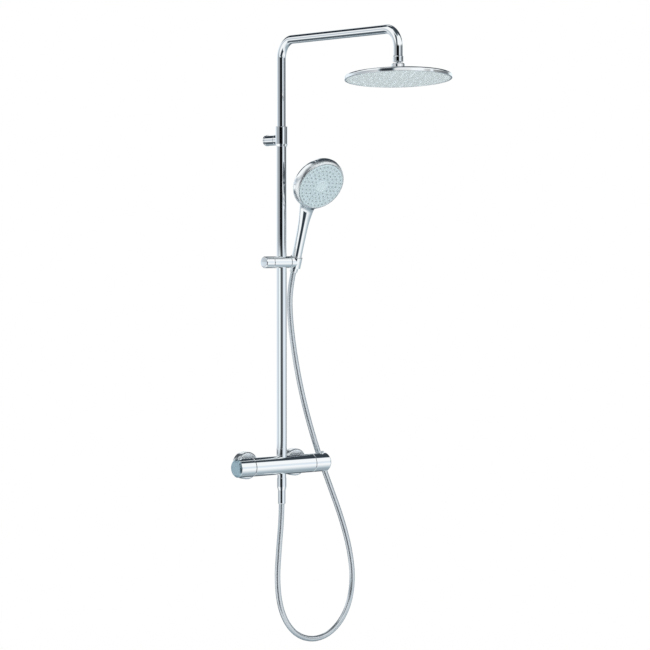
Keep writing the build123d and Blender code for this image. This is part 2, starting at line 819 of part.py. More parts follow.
# Rain head: cap, domed shell, flat face and a soft nozzle mat, all about the tilted axis.
# Heights are from the ball's centre along that axis.
HEAD = BALL.rotated(HEAD_LEAN)
HEAD_SECTION = section_plane(HEAD)
HEAD_AXIS = Axis(HEAD.origin, HEAD.z_dir)
SOCKET_R = SEAT_OUT_R + BALL_GAP
HEAD_CAP_R = 16.0
HEAD_CAP = (-6.5, 8.0)
HEAD_CAP_MOUTH_R = 9.6
HEAD_NECK_R = 14.0
HEAD_NECK_TOP = -0.6
HEAD_SOCKET_FLOOR = -8.2
HEAD_INLET_R = 7.0
HEAD_TOP = -7.0
HEAD_SHOULDER_R = 18.0
HEAD_WALL = 2.0
RIM_TOP = -22.0
RIM_LOW = -29.0
RIM_WALL = 3.4
FACE_LEDGE = 2.4
FACE_TOP = -25.6
FACE_LOW = -28.6
MAT_THICKNESS = 1.5
RAIN_PEG_R = 1.8
RAIN_PEG_OUT = 2.4
RAIN_RINGS = [(22.0 * ring, 6 * ring) for ring in range(1, 6)]
PEG_SIDES = 6
PEG_CLEARANCE = 0.25

with BuildPart() as ball_seat:
    with BuildSketch(HEAD_SECTION) as section:
        with BuildLine():
            ThreePointArc(
                on_sphere(SEAT_IN_R, SEAT_LOW), (SEAT_IN_R, 0), on_sphere(SEAT_IN_R, SEAT_HIGH)
            )
            Line(on_sphere(SEAT_IN_R, SEAT_HIGH), on_sphere(SEAT_OUT_R, SEAT_HIGH))
            ThreePointArc(
                on_sphere(SEAT_OUT_R, SEAT_HIGH), (SEAT_OUT_R, 0), on_sphere(SEAT_OUT_R, SEAT_LOW)
            )
            Line(on_sphere(SEAT_OUT_R, SEAT_LOW), on_sphere(SEAT_IN_R, SEAT_LOW))
        make_face()
    revolve(section.sketch, axis=HEAD_AXIS)
write(ball_seat, "ball_seat")

with BuildPart() as head_cap:
    with BuildSketch(HEAD_SECTION) as section:
        with BuildLine():
            socket_edge = (HEAD_CAP_MOUTH_R, sqrt(SOCKET_R**2 - HEAD_CAP_MOUTH_R**2))
            ThreePointArc(socket_edge, on_sphere(SOCKET_R, SEAT_HIGH), (SOCKET_R, 0))
            Polyline(
                (SOCKET_R, 0),
                (SOCKET_R, HEAD_NECK_TOP),
                (HEAD_NECK_R + FIT, HEAD_NECK_TOP),
                (HEAD_NECK_R + FIT, HEAD_CAP[0]),
                (HEAD_CAP_R, HEAD_CAP[0]),
                (HEAD_CAP_R, HEAD_CAP[1] - EDGE),
                (HEAD_CAP_R - EDGE, HEAD_CAP[1]),
                (HEAD_CAP_MOUTH_R, HEAD_CAP[1]),
                socket_edge,
            )
        make_face()
    revolve(section.sketch, axis=HEAD_AXIS)
write(head_cap, "head_cap")

with BuildPart() as head_shell:
    with BuildSketch(HEAD_SECTION) as section:
        with BuildLine():
            crown = (HEAD_SHOULDER_R, HEAD_TOP)
            crown_mid = (0.55 * HEAD_R, 0.62 * RIM_TOP)
            rim_shoulder = (HEAD_R - HEAD_WALL, RIM_TOP + EDGE)
            rim_inner = (HEAD_R - RIM_WALL - FACE_LEDGE, RIM_TOP - HEAD_WALL)
            crown_inner = (HEAD_SHOULDER_R, HEAD_TOP - 1.6 * HEAD_WALL)
            inner_mid = (crown_mid[0], crown_mid[1] - HEAD_WALL)
            ThreePointArc(crown, crown_mid, rim_shoulder)
            Polyline(
                rim_shoulder,
                (HEAD_R, RIM_TOP - 2 * EDGE),
                (HEAD_R, RIM_LOW + EDGE),
                (HEAD_R - EDGE, RIM_LOW),
                (HEAD_R - RIM_WALL, RIM_LOW),
                (HEAD_R - RIM_WALL, FACE_TOP),
                (HEAD_R - RIM_WALL - FACE_LEDGE, FACE_TOP),
                rim_inner,
            )
            ThreePointArc(rim_inner, inner_mid, crown_inner)
            Polyline(
                crown_inner,
                (HEAD_INLET_R, crown_inner[1]),
                (HEAD_INLET_R, HEAD_SOCKET_FLOOR),
                (SOCKET_R + FIT, HEAD_SOCKET_FLOOR),
                (SOCKET_R + FIT, HEAD_NECK_TOP),
                (HEAD_NECK_R, HEAD_NECK_TOP),
                (HEAD_NECK_R, HEAD_TOP),
                crown,
            )
        make_face()
    revolve(section.sketch, axis=HEAD_AXIS)
write(head_shell, "head_shell")

with BuildPart() as rain_face:
    with BuildSketch(HEAD.offset(FACE_LOW)):
        Circle(HEAD_R - RIM_WALL - 2 * FIT)
        with Locations(*ring_spots(RAIN_RINGS)):
            RegularPolygon(RAIN_PEG_R + PEG_CLEARANCE, PEG_SIDES, mode=Mode.SUBTRACT)
    extrude(amount=FACE_TOP - FACE_LOW)
write(rain_face, "rain_face")

with BuildPart() as rain_nozzles:
    with BuildSketch(HEAD.offset(FACE_TOP)):
        Circle(HEAD_R - RIM_WALL - FACE_LEDGE - EDGE)
    extrude(amount=MAT_THICKNESS)
    with BuildSketch(HEAD.offset(FACE_TOP)):
        with Locations(*ring_spots(RAIN_RINGS)):
            RegularPolygon(RAIN_PEG_R, PEG_SIDES)
    extrude(amount=FACE_LOW - RAIN_PEG_OUT - FACE_TOP)
write(rain_nozzles, "rain_nozzles")

# Slider: a split sleeve runs on the riser and a round bar with a ring at its back turns on the sleeve.
# A lock knob on the left presses a shoe against the riser, and a holder cup tilts on the right.
SLEEVE_R = 13.35
SLEEVE_HALF = 10.0
SLEEVE_SLIT = 3.0
BODY_BORE_R = SLEEVE_R + FIT
BODY_RING_R = 15.4
BODY_X = (-32.5, 19.5)
STUD_R = 4.0
SHOE_X = (-18.0, -13.4)
STUD_X = (-48.0, -18.2)
KNOB_X = (-58.0, -33.0)
PIVOT_R = 6.0
PIVOT_X = (15.0, 20.0)
CUP_R = 15.0
CUP_HALF = 13.5
CUP_SLOT = 15.0
LINER_WALL = 0.9
CONE_R = 11.4  # inside the liner, at the cup's middle
CONE_SLOPE = 0.052
SLIDER = Plane((0, -AXIS_OUT, SLIDER_Z))
SLIDER_BAR = Plane((0, -AXIS_OUT - SLIDER_FORWARD, SLIDER_Z))
SLIDER_BAR_SECTION = section_plane(SLIDER_BAR)
SLIDER_BAR_END = Plane(SLIDER_BAR.origin, x_dir=(0, 1, 0), z_dir=(1, 0, 0))
SLIDER_AXIS = Axis(SLIDER_BAR.origin, (1, 0, 0))


def bar_profile(start, end, radius):
    """Half profile of a plain round bar along X with small chamfers, on the slider bar's plane."""
    return half_profile(
        SLIDER_BAR_SECTION,
        [
            (start, 0),
            (start, radius - EDGE),
            (start + EDGE, radius),
            (end - EDGE, radius),
            (end, radius - EDGE),
            (end, 0),
        ],
    )


with BuildPart() as slider_sleeve:
    with BuildSketch(SLIDER.offset(-SLEEVE_HALF)):
        Circle(SLEEVE_R)
        Circle(RISER_R + FIT, mode=Mode.SUBTRACT)
        with Locations((-RISER_R, -SLIDER_FORWARD)):
            Rectangle(RISER_R, SLEEVE_SLIT, mode=Mode.SUBTRACT)
    extrude(amount=2 * SLEEVE_HALF)
write(slider_sleeve, "slider_sleeve")

with BuildPart() as slider_body:
    revolve(bar_profile(BODY_X[0], BODY_X[1], SLIDER_R), axis=SLIDER_AXIS)
    with BuildSketch(SLIDER.offset(-SLEEVE_HALF)):
        Circle(BODY_RING_R)
    extrude(amount=2 * SLEEVE_HALF)
    with BuildSketch(SLIDER.offset(-SLIDER_R)):
        Circle(BODY_BORE_R)
    extrude(amount=2 * SLIDER_R, mode=Mode.SUBTRACT)
    with BuildSketch(SLIDER_BAR_END):
        Circle(STUD_R + FIT)
    extrude(amount=BODY_X[0], mode=Mode.SUBTRACT)
    with BuildSketch(SLIDER_BAR_END):
        Circle(PIVOT_R + FIT)
    extrude(amount=BODY_X[1], mode=Mode.SUBTRACT)
write(slider_body, "slider_body")

with BuildPart() as clamp_shoe:
    with BuildSketch(SLIDER_BAR_END.offset(SHOE_X[0])):
        Circle(STUD_R - FIT)
    extrude(amount=SHOE_X[1] - SHOE_X[0])
write(clamp_shoe, "clamp_shoe")

with BuildPart() as lock_knob:
    revolve(bar_profile(KNOB_X[0], KNOB_X[1], SLIDER_R), axis=SLIDER_AXIS)
    with BuildSketch(SLIDER_BAR_END.offset(STUD_X[0])):
        Circle(STUD_R + FIT)
    extrude(amount=KNOB_X[1] - STUD_X[0], mode=Mode.SUBTRACT)
write(lock_knob, "lock_knob")

with BuildPart() as lock_stud:
    revolve(bar_profile(STUD_X[0], STUD_X[1], STUD_R), axis=SLIDER_AXIS)
write(lock_stud, "lock_stud")

# The hand shower's frame: local z runs up its handle from the middle of the holder's cup.
HAND_X = (1, 0, 0)
HAND_UP = (0, -sin(radians(HAND_LEAN)), cos(radians(HAND_LEAN)))
HAND = Plane(
    (HOLDER_X, -AXIS_OUT - SLIDER_FORWARD, SLIDER_Z), x_dir=HAND_X, z_dir=HAND_UP
)
HAND_SECTION = section_plane(HAND)
HAND_AXIS = Axis(HAND.origin, HAND.z_dir)


def cone_r(height, wall=0.0):
    """Radius of the holder's cone at a height from the cup's middle."""
    return CONE_R + CONE_SLOPE * height + wall


with BuildPart() as holder_cup:
    revolve(bar_profile(PIVOT_X[1], HOLDER_X, SLIDER_R), axis=SLIDER_AXIS)
    revolve(bar_profile(PIVOT_X[0], HOLDER_X, PIVOT_R), axis=SLIDER_AXIS)
    with BuildSketch(HAND.offset(-CUP_HALF)):
        Circle(CUP_R)
    extrude(amount=2 * CUP_HALF)
    revolve(
        half_profile(
            HAND_SECTION,
            [
                (0, -SLIDER_R - CUP_R),
                (cone_r(-SLIDER_R - CUP_R, LINER_WALL), -SLIDER_R - CUP_R),
                (cone_r(SLIDER_R + CUP_R, LINER_WALL), SLIDER_R + CUP_R),
                (0, SLIDER_R + CUP_R),
            ],
        ),
        axis=HAND_AXIS,
        mode=Mode.SUBTRACT,
    )
    with BuildSketch(HAND.offset(-CUP_HALF)):
        with Locations((CUP_R, 0)):
            Rectangle(2 * CUP_R, CUP_SLOT, mode=Mode.ADD)
    extrude(amount=2 * CUP_HALF, mode=Mode.SUBTRACT)
write(holder_cup, "holder_cup")

with BuildPart() as holder_liner:
    revolve(
        half_profile(
            HAND_SECTION,
            [
                (cone_r(-CUP_HALF), -CUP_HALF),
                (cone_r(-CUP_HALF, LINER_WALL - FIT), -CUP_HALF),
                (cone_r(CUP_HALF, LINER_WALL - FIT), CUP_HALF),
                (cone_r(CUP_HALF), CUP_HALF),
            ],
        ),
        axis=HAND_AXIS,
    )
    with BuildSketch(HAND.offset(-CUP_HALF)):
        with Locations((CUP_R, 0)):
            Rectangle(2 * CUP_R, CUP_SLOT)
    extrude(amount=2 * CUP_HALF, mode=Mode.SUBTRACT)
write(holder_liner, "holder_liner")

# Hand shower: the hose's conical nut sits in the holder and screws on to the handle's threaded end.
# The round head carries a turning spray face with its own nozzle mat.
CONE_NUT_S = (-26.0, 14.2)
CONE_NUT_GAP = 0.3
NUT_CAVITY_S = 0.5
NUT_MOUTH_R = 4.5
HANDLE_LOW_S = 14.5
INLET_LOW_S = 2.5
INLET_R = THREAD_HALF_INCH_R - 2 * FIT
INLET_IN_R = 6.0
INLET_BORE_TOP_S = 40.0
# Handle sections: station, half width, half depth and how far its middle lies behind the axis
HANDLE_SECTIONS = [
    (HANDLE_LOW_S, 12.2, 12.2, 0.0),
    (60.0, 12.5, 12.1, 0.0),
    (110.0, 14.4, 13.0, 0.0),
    (145.0, 20.0, 15.0, -1.0),
    (175.0, 28.0, 11.0, -5.0),
    (200.0, 32.0, 6.0, -13.0),
]
# Head profile: radius and height along the face's outward normal
BACK_DEPTH = 38.0
BACK_EDGE = (46.0, -31.5)
BACK_R = (BACK_EDGE[0] ** 2 + (BACK_DEPTH + BACK_EDGE[1]) ** 2) / (2 * (BACK_DEPTH + BACK_EDGE[1]))
BACK_MID = (BACK_EDGE[0] / 2, BACK_R - BACK_DEPTH - sqrt(BACK_R**2 - BACK_EDGE[0] ** 2 / 4))
GIRTH = (HAND_HEAD_R, -18.0)
BEZEL_R = 60.5
FACE_SEAT_R = 59.1
FACE_SEAT_DEPTH = 8.0
CHAMBER_R = 54.0
CHAMBER_DEPTH = 20.0
CHAMBER_MID_R = 30.0
CHAMBER_MID_DEPTH = 30.0

# The hand shower sits in its cup turned a little to the left, about its handle.
hand_turn = radians(HAND_TURN)
face_drop = radians(HAND_FACE_DROP)
HAND_TURNED = Plane(
    HAND.origin,
    x_dir=HAND.x_dir * cos(hand_turn) + HAND.y_dir * sin(hand_turn),
    z_dir=HAND.z_dir,
)
FACE = Plane(
    HAND_TURNED.from_local_coords(Vector(0, -HAND_FACE_OUT, HAND_FACE_S)),
    x_dir=HAND_TURNED.x_dir,
    z_dir=HAND_TURNED.y_dir * -cos(face_drop) - HAND_TURNED.z_dir * sin(face_drop),
)
print("spray face at", FACE.origin, "facing", FACE.z_dir)
FACE_SECTION = section_plane(FACE)
FACE_AXIS = Axis(FACE.origin, FACE.z_dir)

with BuildPart() as hose_cone_nut:
    revolve(
        half_profile(
            HAND_SECTION,
            [
                (NUT_MOUTH_R, CONE_NUT_S[0]),
                (cone_r(CONE_NUT_S[0], -CONE_NUT_GAP) - EDGE, CONE_NUT_S[0]),
                (cone_r(CONE_NUT_S[0] + EDGE, -CONE_NUT_GAP), CONE_NUT_S[0] + EDGE),
                (cone_r(CONE_NUT_S[1], -CONE_NUT_GAP), CONE_NUT_S[1]),
                (THREAD_HALF_INCH_R, CONE_NUT_S[1]),
                (THREAD_HALF_INCH_R, NUT_CAVITY_S),
                (NUT_MOUTH_R, NUT_CAVITY_S),
            ],
        ),
        axis=HAND_AXIS,
    )
write(hose_cone_nut, "hose_cone_nut")

with BuildPart() as handset_washer:
    with BuildSketch(HAND.offset(NUT_CAVITY_S)):
        Circle(INLET_R)
        Circle(INLET_IN_R, mode=Mode.SUBTRACT)
    extrude(amount=INLET_LOW_S - NUT_CAVITY_S)
write(handset_washer, "handset_washer")

with BuildPart() as handset_shell:
    for station, half_width, half_depth, behind in HANDLE_SECTIONS:
        with BuildSketch(HAND_TURNED.offset(station)):
            with Locations((0, behind)):
                Ellipse(half_width, half_depth)
    loft()
    with BuildSketch(HAND.offset(INLET_LOW_S)):
        Circle(INLET_R)
    extrude(amount=HANDLE_LOW_S - INLET_LOW_S)
    with BuildSketch(FACE_SECTION) as section:
        with BuildLine():
            ThreePointArc((0, -BACK_DEPTH), BACK_MID, BACK_EDGE)
            Spline(BACK_EDGE, GIRTH, tangents=((3.4, 1), (0, 1)))
            Spline(GIRTH, (BEZEL_R, 0), tangents=((0, 1), (-2, 1)))
            Polyline(
                (BEZEL_R, 0),
                (0, 0),
                (0, -BACK_DEPTH),
            )
        make_face()
    revolve(section.sketch, axis=FACE_AXIS)
    revolve(
        half_profile(
            FACE_SECTION,
            [
                (0, 0),
                (FACE_SEAT_R, 0),
                (FACE_SEAT_R, -FACE_SEAT_DEPTH),
                (CHAMBER_R, -FACE_SEAT_DEPTH),
                (CHAMBER_R, -CHAMBER_DEPTH),
                (CHAMBER_MID_R, -CHAMBER_MID_DEPTH),
                (0, -CHAMBER_MID_DEPTH),
            ],
        ),
        axis=FACE_AXIS,
        mode=Mode.SUBTRACT,
    )
    with BuildSketch(HAND.offset(INLET_LOW_S)):
        Circle(INLET_IN_R)
    extrude(amount=INLET_BORE_TOP_S - INLET_LOW_S, mode=Mode.SUBTRACT)
write(handset_shell, "handset_shell")

# Spray face: a fixed distributor behind it, then the mat, the turning plate and its plain hub.
DISTRIBUTOR = (-12.0, -8.6)
DISTRIBUTOR_R = 53.5
DISTRIBUTOR_PORT_R = 5.0
DISTRIBUTOR_PORTS = [(34.0, 3)]
SPRAY_R = FACE_SEAT_R - 2 * FIT
SPRAY_PLATE = (-5.0, 0.8)
SPRAY_MAT_BACK = -7.0
SPRAY_PEG_R = 1.5
SPRAY_PEG_OUT = 2.6
SPRAY_RINGS = [(22.0, 12), (32.0, 18), (42.0, 24), (53.0, 32)]
HUB_CAP_R = 16.0
HUB_CAP_OUT = 2.2
PIVOT_PIN_R = 3.0

with BuildPart() as spray_distributor:
    with BuildSketch(FACE.offset(DISTRIBUTOR[0])):
        Circle(DISTRIBUTOR_R)
        Circle(PIVOT_PIN_R + FIT, mode=Mode.SUBTRACT)
        with Locations(*ring_spots(DISTRIBUTOR_PORTS)):
            Circle(DISTRIBUTOR_PORT_R, mode=Mode.SUBTRACT)
    extrude(amount=DISTRIBUTOR[1] - DISTRIBUTOR[0])
write(spray_distributor, "spray_distributor")

with BuildPart() as spray_plate:
    with BuildSketch(FACE.offset(SPRAY_PLATE[0])):
        Circle(SPRAY_R)
        Circle(PIVOT_PIN_R + FIT, mode=Mode.SUBTRACT)
        with Locations(*ring_spots(SPRAY_RINGS)):
            RegularPolygon(SPRAY_PEG_R + PEG_CLEARANCE, PEG_SIDES, mode=Mode.SUBTRACT)
    extrude(amount=SPRAY_PLATE[1] - SPRAY_PLATE[0])
write(spray_plate, "spray_plate")

with BuildPart() as spray_nozzles:
    with BuildSketch(FACE.offset(SPRAY_PLATE[0])):
        Circle(SPRAY_R - EDGE)
        Circle(PIVOT_PIN_R + FIT, mode=Mode.SUBTRACT)
    extrude(amount=SPRAY_MAT_BACK - SPRAY_PLATE[0])
    with BuildSketch(FACE.offset(SPRAY_PLATE[0])):
        with Locations(*ring_spots(SPRAY_RINGS)):
            RegularPolygon(SPRAY_PEG_R, PEG_SIDES)
    extrude(amount=SPRAY_PEG_OUT - SPRAY_PLATE[0])
write(spray_nozzles, "spray_nozzles")

with BuildPart() as spray_hub:
    revolve(
        half_profile(
            FACE_SECTION,
            [
                (0, DISTRIBUTOR[0]),
                (PIVOT_PIN_R, DISTRIBUTOR[0]),
                (PIVOT_PIN_R, SPRAY_PLATE[1] + FIT),
                (HUB_CAP_R, SPRAY_PLATE[1] + FIT),
                (HUB_CAP_R - EDGE, HUB_CAP_OUT - EDGE),
                (HUB_CAP_R - 3 * EDGE, HUB_CAP_OUT),
                (0, HUB_CAP_OUT),
            ],
        ),
        axis=FACE_AXIS,
    )
write(spray_hub, "spray_hub")

# Hose: an outlet nipple under the mixer, a washer and a nut, then one free hose that hangs in a loop
# behind the temperature handle and climbs to the hand shower's conical nut.
OUTLET_TOP_Z = -14.0
OUTLET_COLLAR_Z = -31.0
OUTLET_LOW_Z = -43.0
OUTLET_IN_R = 5.5
OUTLET_WASHER_Z = -45.0
HOSE_NUT_R = 11.8
HOSE_NUT_Z = (-62.0, -31.4)
HOSE_NUT_TAPER = 8.0
HOSE_NUT_LOW_R = 9.4
HOSE_SLEEVE_Z = -96.0
HOSE_SLEEVE_IN_R = 7.5

with BuildPart() as hose_outlet:
    revolve(
        half_profile(
            UPRIGHT,
            [
                (OUTLET_IN_R, OUTLET_TOP_Z),
                (OUTLET_BORE_R - FIT, OUTLET_TOP_Z),
                (OUTLET_BORE_R - FIT, OUTLET_SEAT_Z),
                (OUTLET_SEAT_R, OUTLET_SEAT_Z),
                (OUTLET_SEAT_R, OUTLET_COLLAR_Z),
                (INLET_R, OUTLET_COLLAR_Z),
                (INLET_R, OUTLET_LOW_Z),
                (OUTLET_IN_R, OUTLET_LOW_Z),
            ],
        ),
        axis=RISER_AXIS,
    )
write(hose_outlet, "hose_outlet")

with BuildPart() as outlet_washer:
    with BuildSketch(RISER_PLANE.offset(OUTLET_WASHER_Z)):
        Circle(INLET_R)
        Circle(OUTLET_IN_R, mode=Mode.SUBTRACT)
    extrude(amount=OUTLET_LOW_Z - OUTLET_WASHER_Z)
write(outlet_washer, "outlet_washer")

with BuildPart() as hose_nut:
    revolve(
        half_profile(
            UPRIGHT,
            [
                (NUT_MOUTH_R, HOSE_NUT_Z[0]),
                (HOSE_SLEEVE_IN_R, HOSE_NUT_Z[0]),
                (HOSE_SLEEVE_IN_R, HOSE_SLEEVE_Z),
                (HOSE_NUT_LOW_R - EDGE, HOSE_SLEEVE_Z),
                (HOSE_NUT_LOW_R, HOSE_SLEEVE_Z + EDGE),
                (HOSE_NUT_LOW_R, HOSE_NUT_Z[0]),
                (HOSE_NUT_R, HOSE_NUT_Z[0] + HOSE_NUT_TAPER),
                (HOSE_NUT_R, HOSE_NUT_Z[1]),
                (THREAD_HALF_INCH_R, HOSE_NUT_Z[1]),
                (THREAD_HALF_INCH_R, OUTLET_WASHER_Z),
                (NUT_MOUTH_R, OUTLET_WASHER_Z),
            ],
        ),
        axis=RISER_AXIS,
    )
write(hose_nut, "hose_nut")

HOSE_END_GAP = 0.3
HOSE_EXIT_RUN = 48.0
hose_end = HAND.from_local_coords(Vector(0, 0, CONE_NUT_S[0] - HOSE_END_GAP))
hose_end_run = HAND.from_local_coords(Vector(0, 0, CONE_NUT_S[0] - HOSE_END_GAP - HOSE_EXIT_RUN))
HOSE_ROUTE = [
    Vector(0, -AXIS_OUT, HOSE_NUT_Z[0]),
    Vector(0, -AXIS_OUT, -122),
    Vector(-5, -55, -206),
    Vector(-6, -47, -296),
    Vector(16, -38, -378),
    Vector(64, -30, -434),
    Vector(130, -23, -456),
    Vector(196, -18, -440),
    Vector(245, -16, -388),
    Vector(262, -16, -312),
    Vector(250, -16, -232),
    Vector(223, -17, -152),
    Vector(187, -18, -72),
    Vector(150, -20, 8),
    Vector(116, -23, 92),
    Vector(85, -27, 182),
    Vector(61, -31, 275),
    Vector(46, -33, 365),
    hose_end_run,
    hose_end,
]
ARC_SHARE = 0.45  # of the shorter run at each corner


def corner_radius(before, corner, after):
    """Largest fair radius for a corner of the hose's route."""
    half_turn = radians((corner - before).get_angle(after - corner)) / 2
    return ARC_SHARE * min((corner - before).length, (after - corner).length) / tan(half_turn)


hose_radii = [corner_radius(*HOSE_ROUTE[i : i + 3]) for i in range(len(HOSE_ROUTE) - 2)]
with BuildPart() as shower_hose:
    with BuildLine() as hose_path:
        FilletPolyline(*HOSE_ROUTE, radius=hose_radii)
    with BuildSketch(Plane(HOSE_ROUTE[0], x_dir=(1, 0, 0), z_dir=(0, 0, -1))):
        Circle(HOSE_R)
        Circle(HOSE_BORE_R, mode=Mode.SUBTRACT)
    sweep(path=hose_path.line)
write(shower_hose, "shower_hose")
hose_length = sum(run.length for run in hose_path.line.edges())
hose_section = pi * (HOSE_R**2 - HOSE_BORE_R**2)
print("hose radii", [round(radius) for radius in hose_radii])
hose_ratio = shower_hose.part.volume / hose_section / hose_length
print("hose length", round(hose_length), "volume over section times length", round(hose_ratio, 4))
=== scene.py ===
import json
import math

import bmesh
import bpy
import numpy as np
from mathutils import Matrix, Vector


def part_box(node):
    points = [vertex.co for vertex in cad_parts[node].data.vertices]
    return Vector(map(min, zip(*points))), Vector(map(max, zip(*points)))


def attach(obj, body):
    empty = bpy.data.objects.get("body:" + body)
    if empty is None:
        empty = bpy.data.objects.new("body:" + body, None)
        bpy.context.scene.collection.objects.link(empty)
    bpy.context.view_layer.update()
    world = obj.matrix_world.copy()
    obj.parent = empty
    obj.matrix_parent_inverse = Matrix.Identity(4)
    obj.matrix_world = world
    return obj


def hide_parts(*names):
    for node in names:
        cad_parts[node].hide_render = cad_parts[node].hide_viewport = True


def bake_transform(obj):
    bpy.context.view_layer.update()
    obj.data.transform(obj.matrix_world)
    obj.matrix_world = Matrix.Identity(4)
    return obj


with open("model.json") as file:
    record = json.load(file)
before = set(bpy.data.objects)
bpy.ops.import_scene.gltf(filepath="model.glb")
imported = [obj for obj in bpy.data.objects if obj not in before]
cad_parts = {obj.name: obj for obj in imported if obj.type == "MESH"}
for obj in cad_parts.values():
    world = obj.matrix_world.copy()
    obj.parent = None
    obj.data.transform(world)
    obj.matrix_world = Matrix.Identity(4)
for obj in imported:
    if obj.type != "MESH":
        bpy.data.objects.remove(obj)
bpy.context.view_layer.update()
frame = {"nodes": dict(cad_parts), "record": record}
scene = bpy.context.scene


def add_object(name, data):
    """A new object in the scene."""
    made = bpy.data.objects.new(name, data)
    scene.collection.objects.link(made)
    return made


# Camera: in front of the column and to its left, aimed a little to the right and down.
FOCAL_PX = 2370.0
IMAGE_PX = 650.0
SENSOR_MM = 36.0
AXIS_Y = -0.060
LOOK = Vector((0.6, 0.8, 0.0))
RIGHT = Vector((0.8, -0.6, 0.0))
UP = Vector((0.0, 0.0, 1.0))
CAMERA_BACK = 5.860
CAMERA_Z = 0.570
AIM_RIGHT_PX = 43.4
AIM_DOWN_PX = 90.0

camera_data = bpy.data.cameras.new("camera")
camera_data.sensor_width = SENSOR_MM
camera_data.lens = SENSOR_MM * FOCAL_PX / IMAGE_PX
camera = add_object("camera", camera_data)
camera.location = Vector((0.0, AXIS_Y, CAMERA_Z)) - LOOK * CAMERA_BACK
aim = LOOK + RIGHT * (AIM_RIGHT_PX / FOCAL_PX) - UP * (AIM_DOWN_PX / FOCAL_PX)
camera.rotation_mode = "QUATERNION"
camera.rotation_quaternion = aim.to_track_quat("-Z", "Y")
scene.camera = camera
scene.view_settings.view_transform = "Standard"


class Graph:
    """Adds and links the shader nodes of one tree."""

    def __init__(self, tree):
        self.tree = tree
        tree.nodes.clear()

    def add(self, kind, **settings):
        node = self.tree.nodes.new(kind)
        for key, value in settings.items():
            setattr(node, key, value)
        return node

    def link(self, out_socket, in_socket):
        self.tree.links.new(out_socket, in_socket)

    def put(self, socket, value):
        if isinstance(value, bpy.types.NodeSocket):
            self.link(value, socket)
        else:
            socket.default_value = value

    def math(self, operation, a, b=0.0):
        node = self.add("ShaderNodeMath", operation=operation)
        self.put(node.inputs[0], a)
        self.put(node.inputs[1], b)
        return node.outputs[0]

    def dot(self, vector, constant):
        node = self.add("ShaderNodeVectorMath", operation="DOT_PRODUCT")
        self.put(node.inputs[0], vector)
        self.put(node.inputs[1], constant)
        return node.outputs["Value"]

    def fade(self, value, low, high, to_low=0.0, to_high=1.0):
        node = self.add("ShaderNodeMapRange", interpolation_type="SMOOTHSTEP")
        self.put(node.inputs["Value"], value)
        self.put(node.inputs["From Min"], low)
        self.put(node.inputs["From Max"], high)
        self.put(node.inputs["To Min"], to_low)
        self.put(node.inputs["To Max"], to_high)
        return node.outputs["Result"]

    def noise(self, vector, scale, detail=3.0):
        node = self.add("ShaderNodeTexNoise")
        self.put(node.inputs["Vector"], vector)
        node.inputs["Scale"].default_value = scale
        node.inputs["Detail"].default_value = detail
        return node.outputs["Fac"]

    def mix_color(self, factor, a, b):
        node = self.add("ShaderNodeMix", data_type="RGBA")
        self.put(node.inputs[0], factor)
        self.put(node.inputs[6], a)
        self.put(node.inputs[7], b)
        return node.outputs[2]

    def bump(self, height, strength, distance):
        node = self.add("ShaderNodeBump")
        node.inputs["Strength"].default_value = strength
        node.inputs["Distance"].default_value = distance
        self.link(height, node.inputs["Height"])
        return node.outputs["Normal"]

    def background(self, tint, strength):
        node = self.add("ShaderNodeBackground")
        self.put(node.inputs["Color"], tint)
        node.inputs["Strength"].default_value = strength
        return node.outputs[0]

    def mix_shader(self, factor, a, b):
        node = self.add("ShaderNodeMixShader")
        for socket, source in zip(node.inputs, (factor, a, b)):
            self.link(source, socket)
        return node.outputs[0]


def color(r, g, b):
    return (r, g, b, 1.0)


def shaded(value, share):
    """A colour made darker by a share."""
    return color(*(channel * share for channel in value[:3]))


# Hose: one smooth line led by the route's control points, from the mixer's outlet to the hand shower.
HAND_LEAN = math.radians(19.0)
HAND_UP = Vector((0.0, -math.sin(HAND_LEAN), math.cos(HAND_LEAN)))
HAND_ORIGIN = Vector((0.040, -0.064, 0.503))
FACE_AXIS = Vector((-0.077018, -0.863164, -0.499015)).normalized()
HOSE_R = 0.007
HOSE_SIDES = 28
HOSE_STEPS = 16
TILT_FROM_Z = 0.296  # the hose's upper piece starts at the first point above this height
LIFT_FROM_Z = 0.3905  # its top piece starts at the first point above this height
HOSE_END = HAND_ORIGIN + HAND_UP * -0.0263
HOSE_END_RUN = HAND_ORIGIN + HAND_UP * -0.0743
HOSE_ROUTE = [
    (0.000, -0.060, -0.062),
    (0.000, -0.060, -0.122),
    (-0.005, -0.055, -0.206),
    (-0.006, -0.047, -0.296),
    (0.016, -0.038, -0.378),
    (0.064, -0.030, -0.434),
    (0.130, -0.023, -0.456),
    (0.196, -0.018, -0.440),
    (0.245, -0.016, -0.388),
    (0.262, -0.016, -0.312),
    (0.250, -0.016, -0.232),
    (0.223, -0.017, -0.152),
    (0.187, -0.018, -0.072),
    (0.150, -0.020, 0.008),
    (0.116, -0.023, 0.092),
    (0.085, -0.027, 0.182),
    (0.061, -0.031, 0.275),
    (0.046, -0.033, 0.365),
    tuple(HOSE_END_RUN),
    tuple(HOSE_END),
]


def nurbs_points(name, route, resolution):
    """Points along a quadratic spline that has the route as its control points."""
    curve = bpy.data.curves.new(name, "CURVE")
    curve.dimensions = "3D"
    curve.resolution_u = resolution
    spline = curve.splines.new("NURBS")
    spline.points.add(len(route) - 1)
    for point, place in zip(spline.points, route):
        point.co = (*place, 1.0)
    spline.order_u = 3
    spline.use_endpoint_u = True
    holder = add_object(name, curve)
    bpy.context.view_layer.update()
    line = bpy.data.meshes.new_from_object(holder)
    points = [vertex.co.copy() for vertex in line.vertices]
    bpy.data.objects.remove(holder)
    bpy.data.meshes.remove(line)
    return points


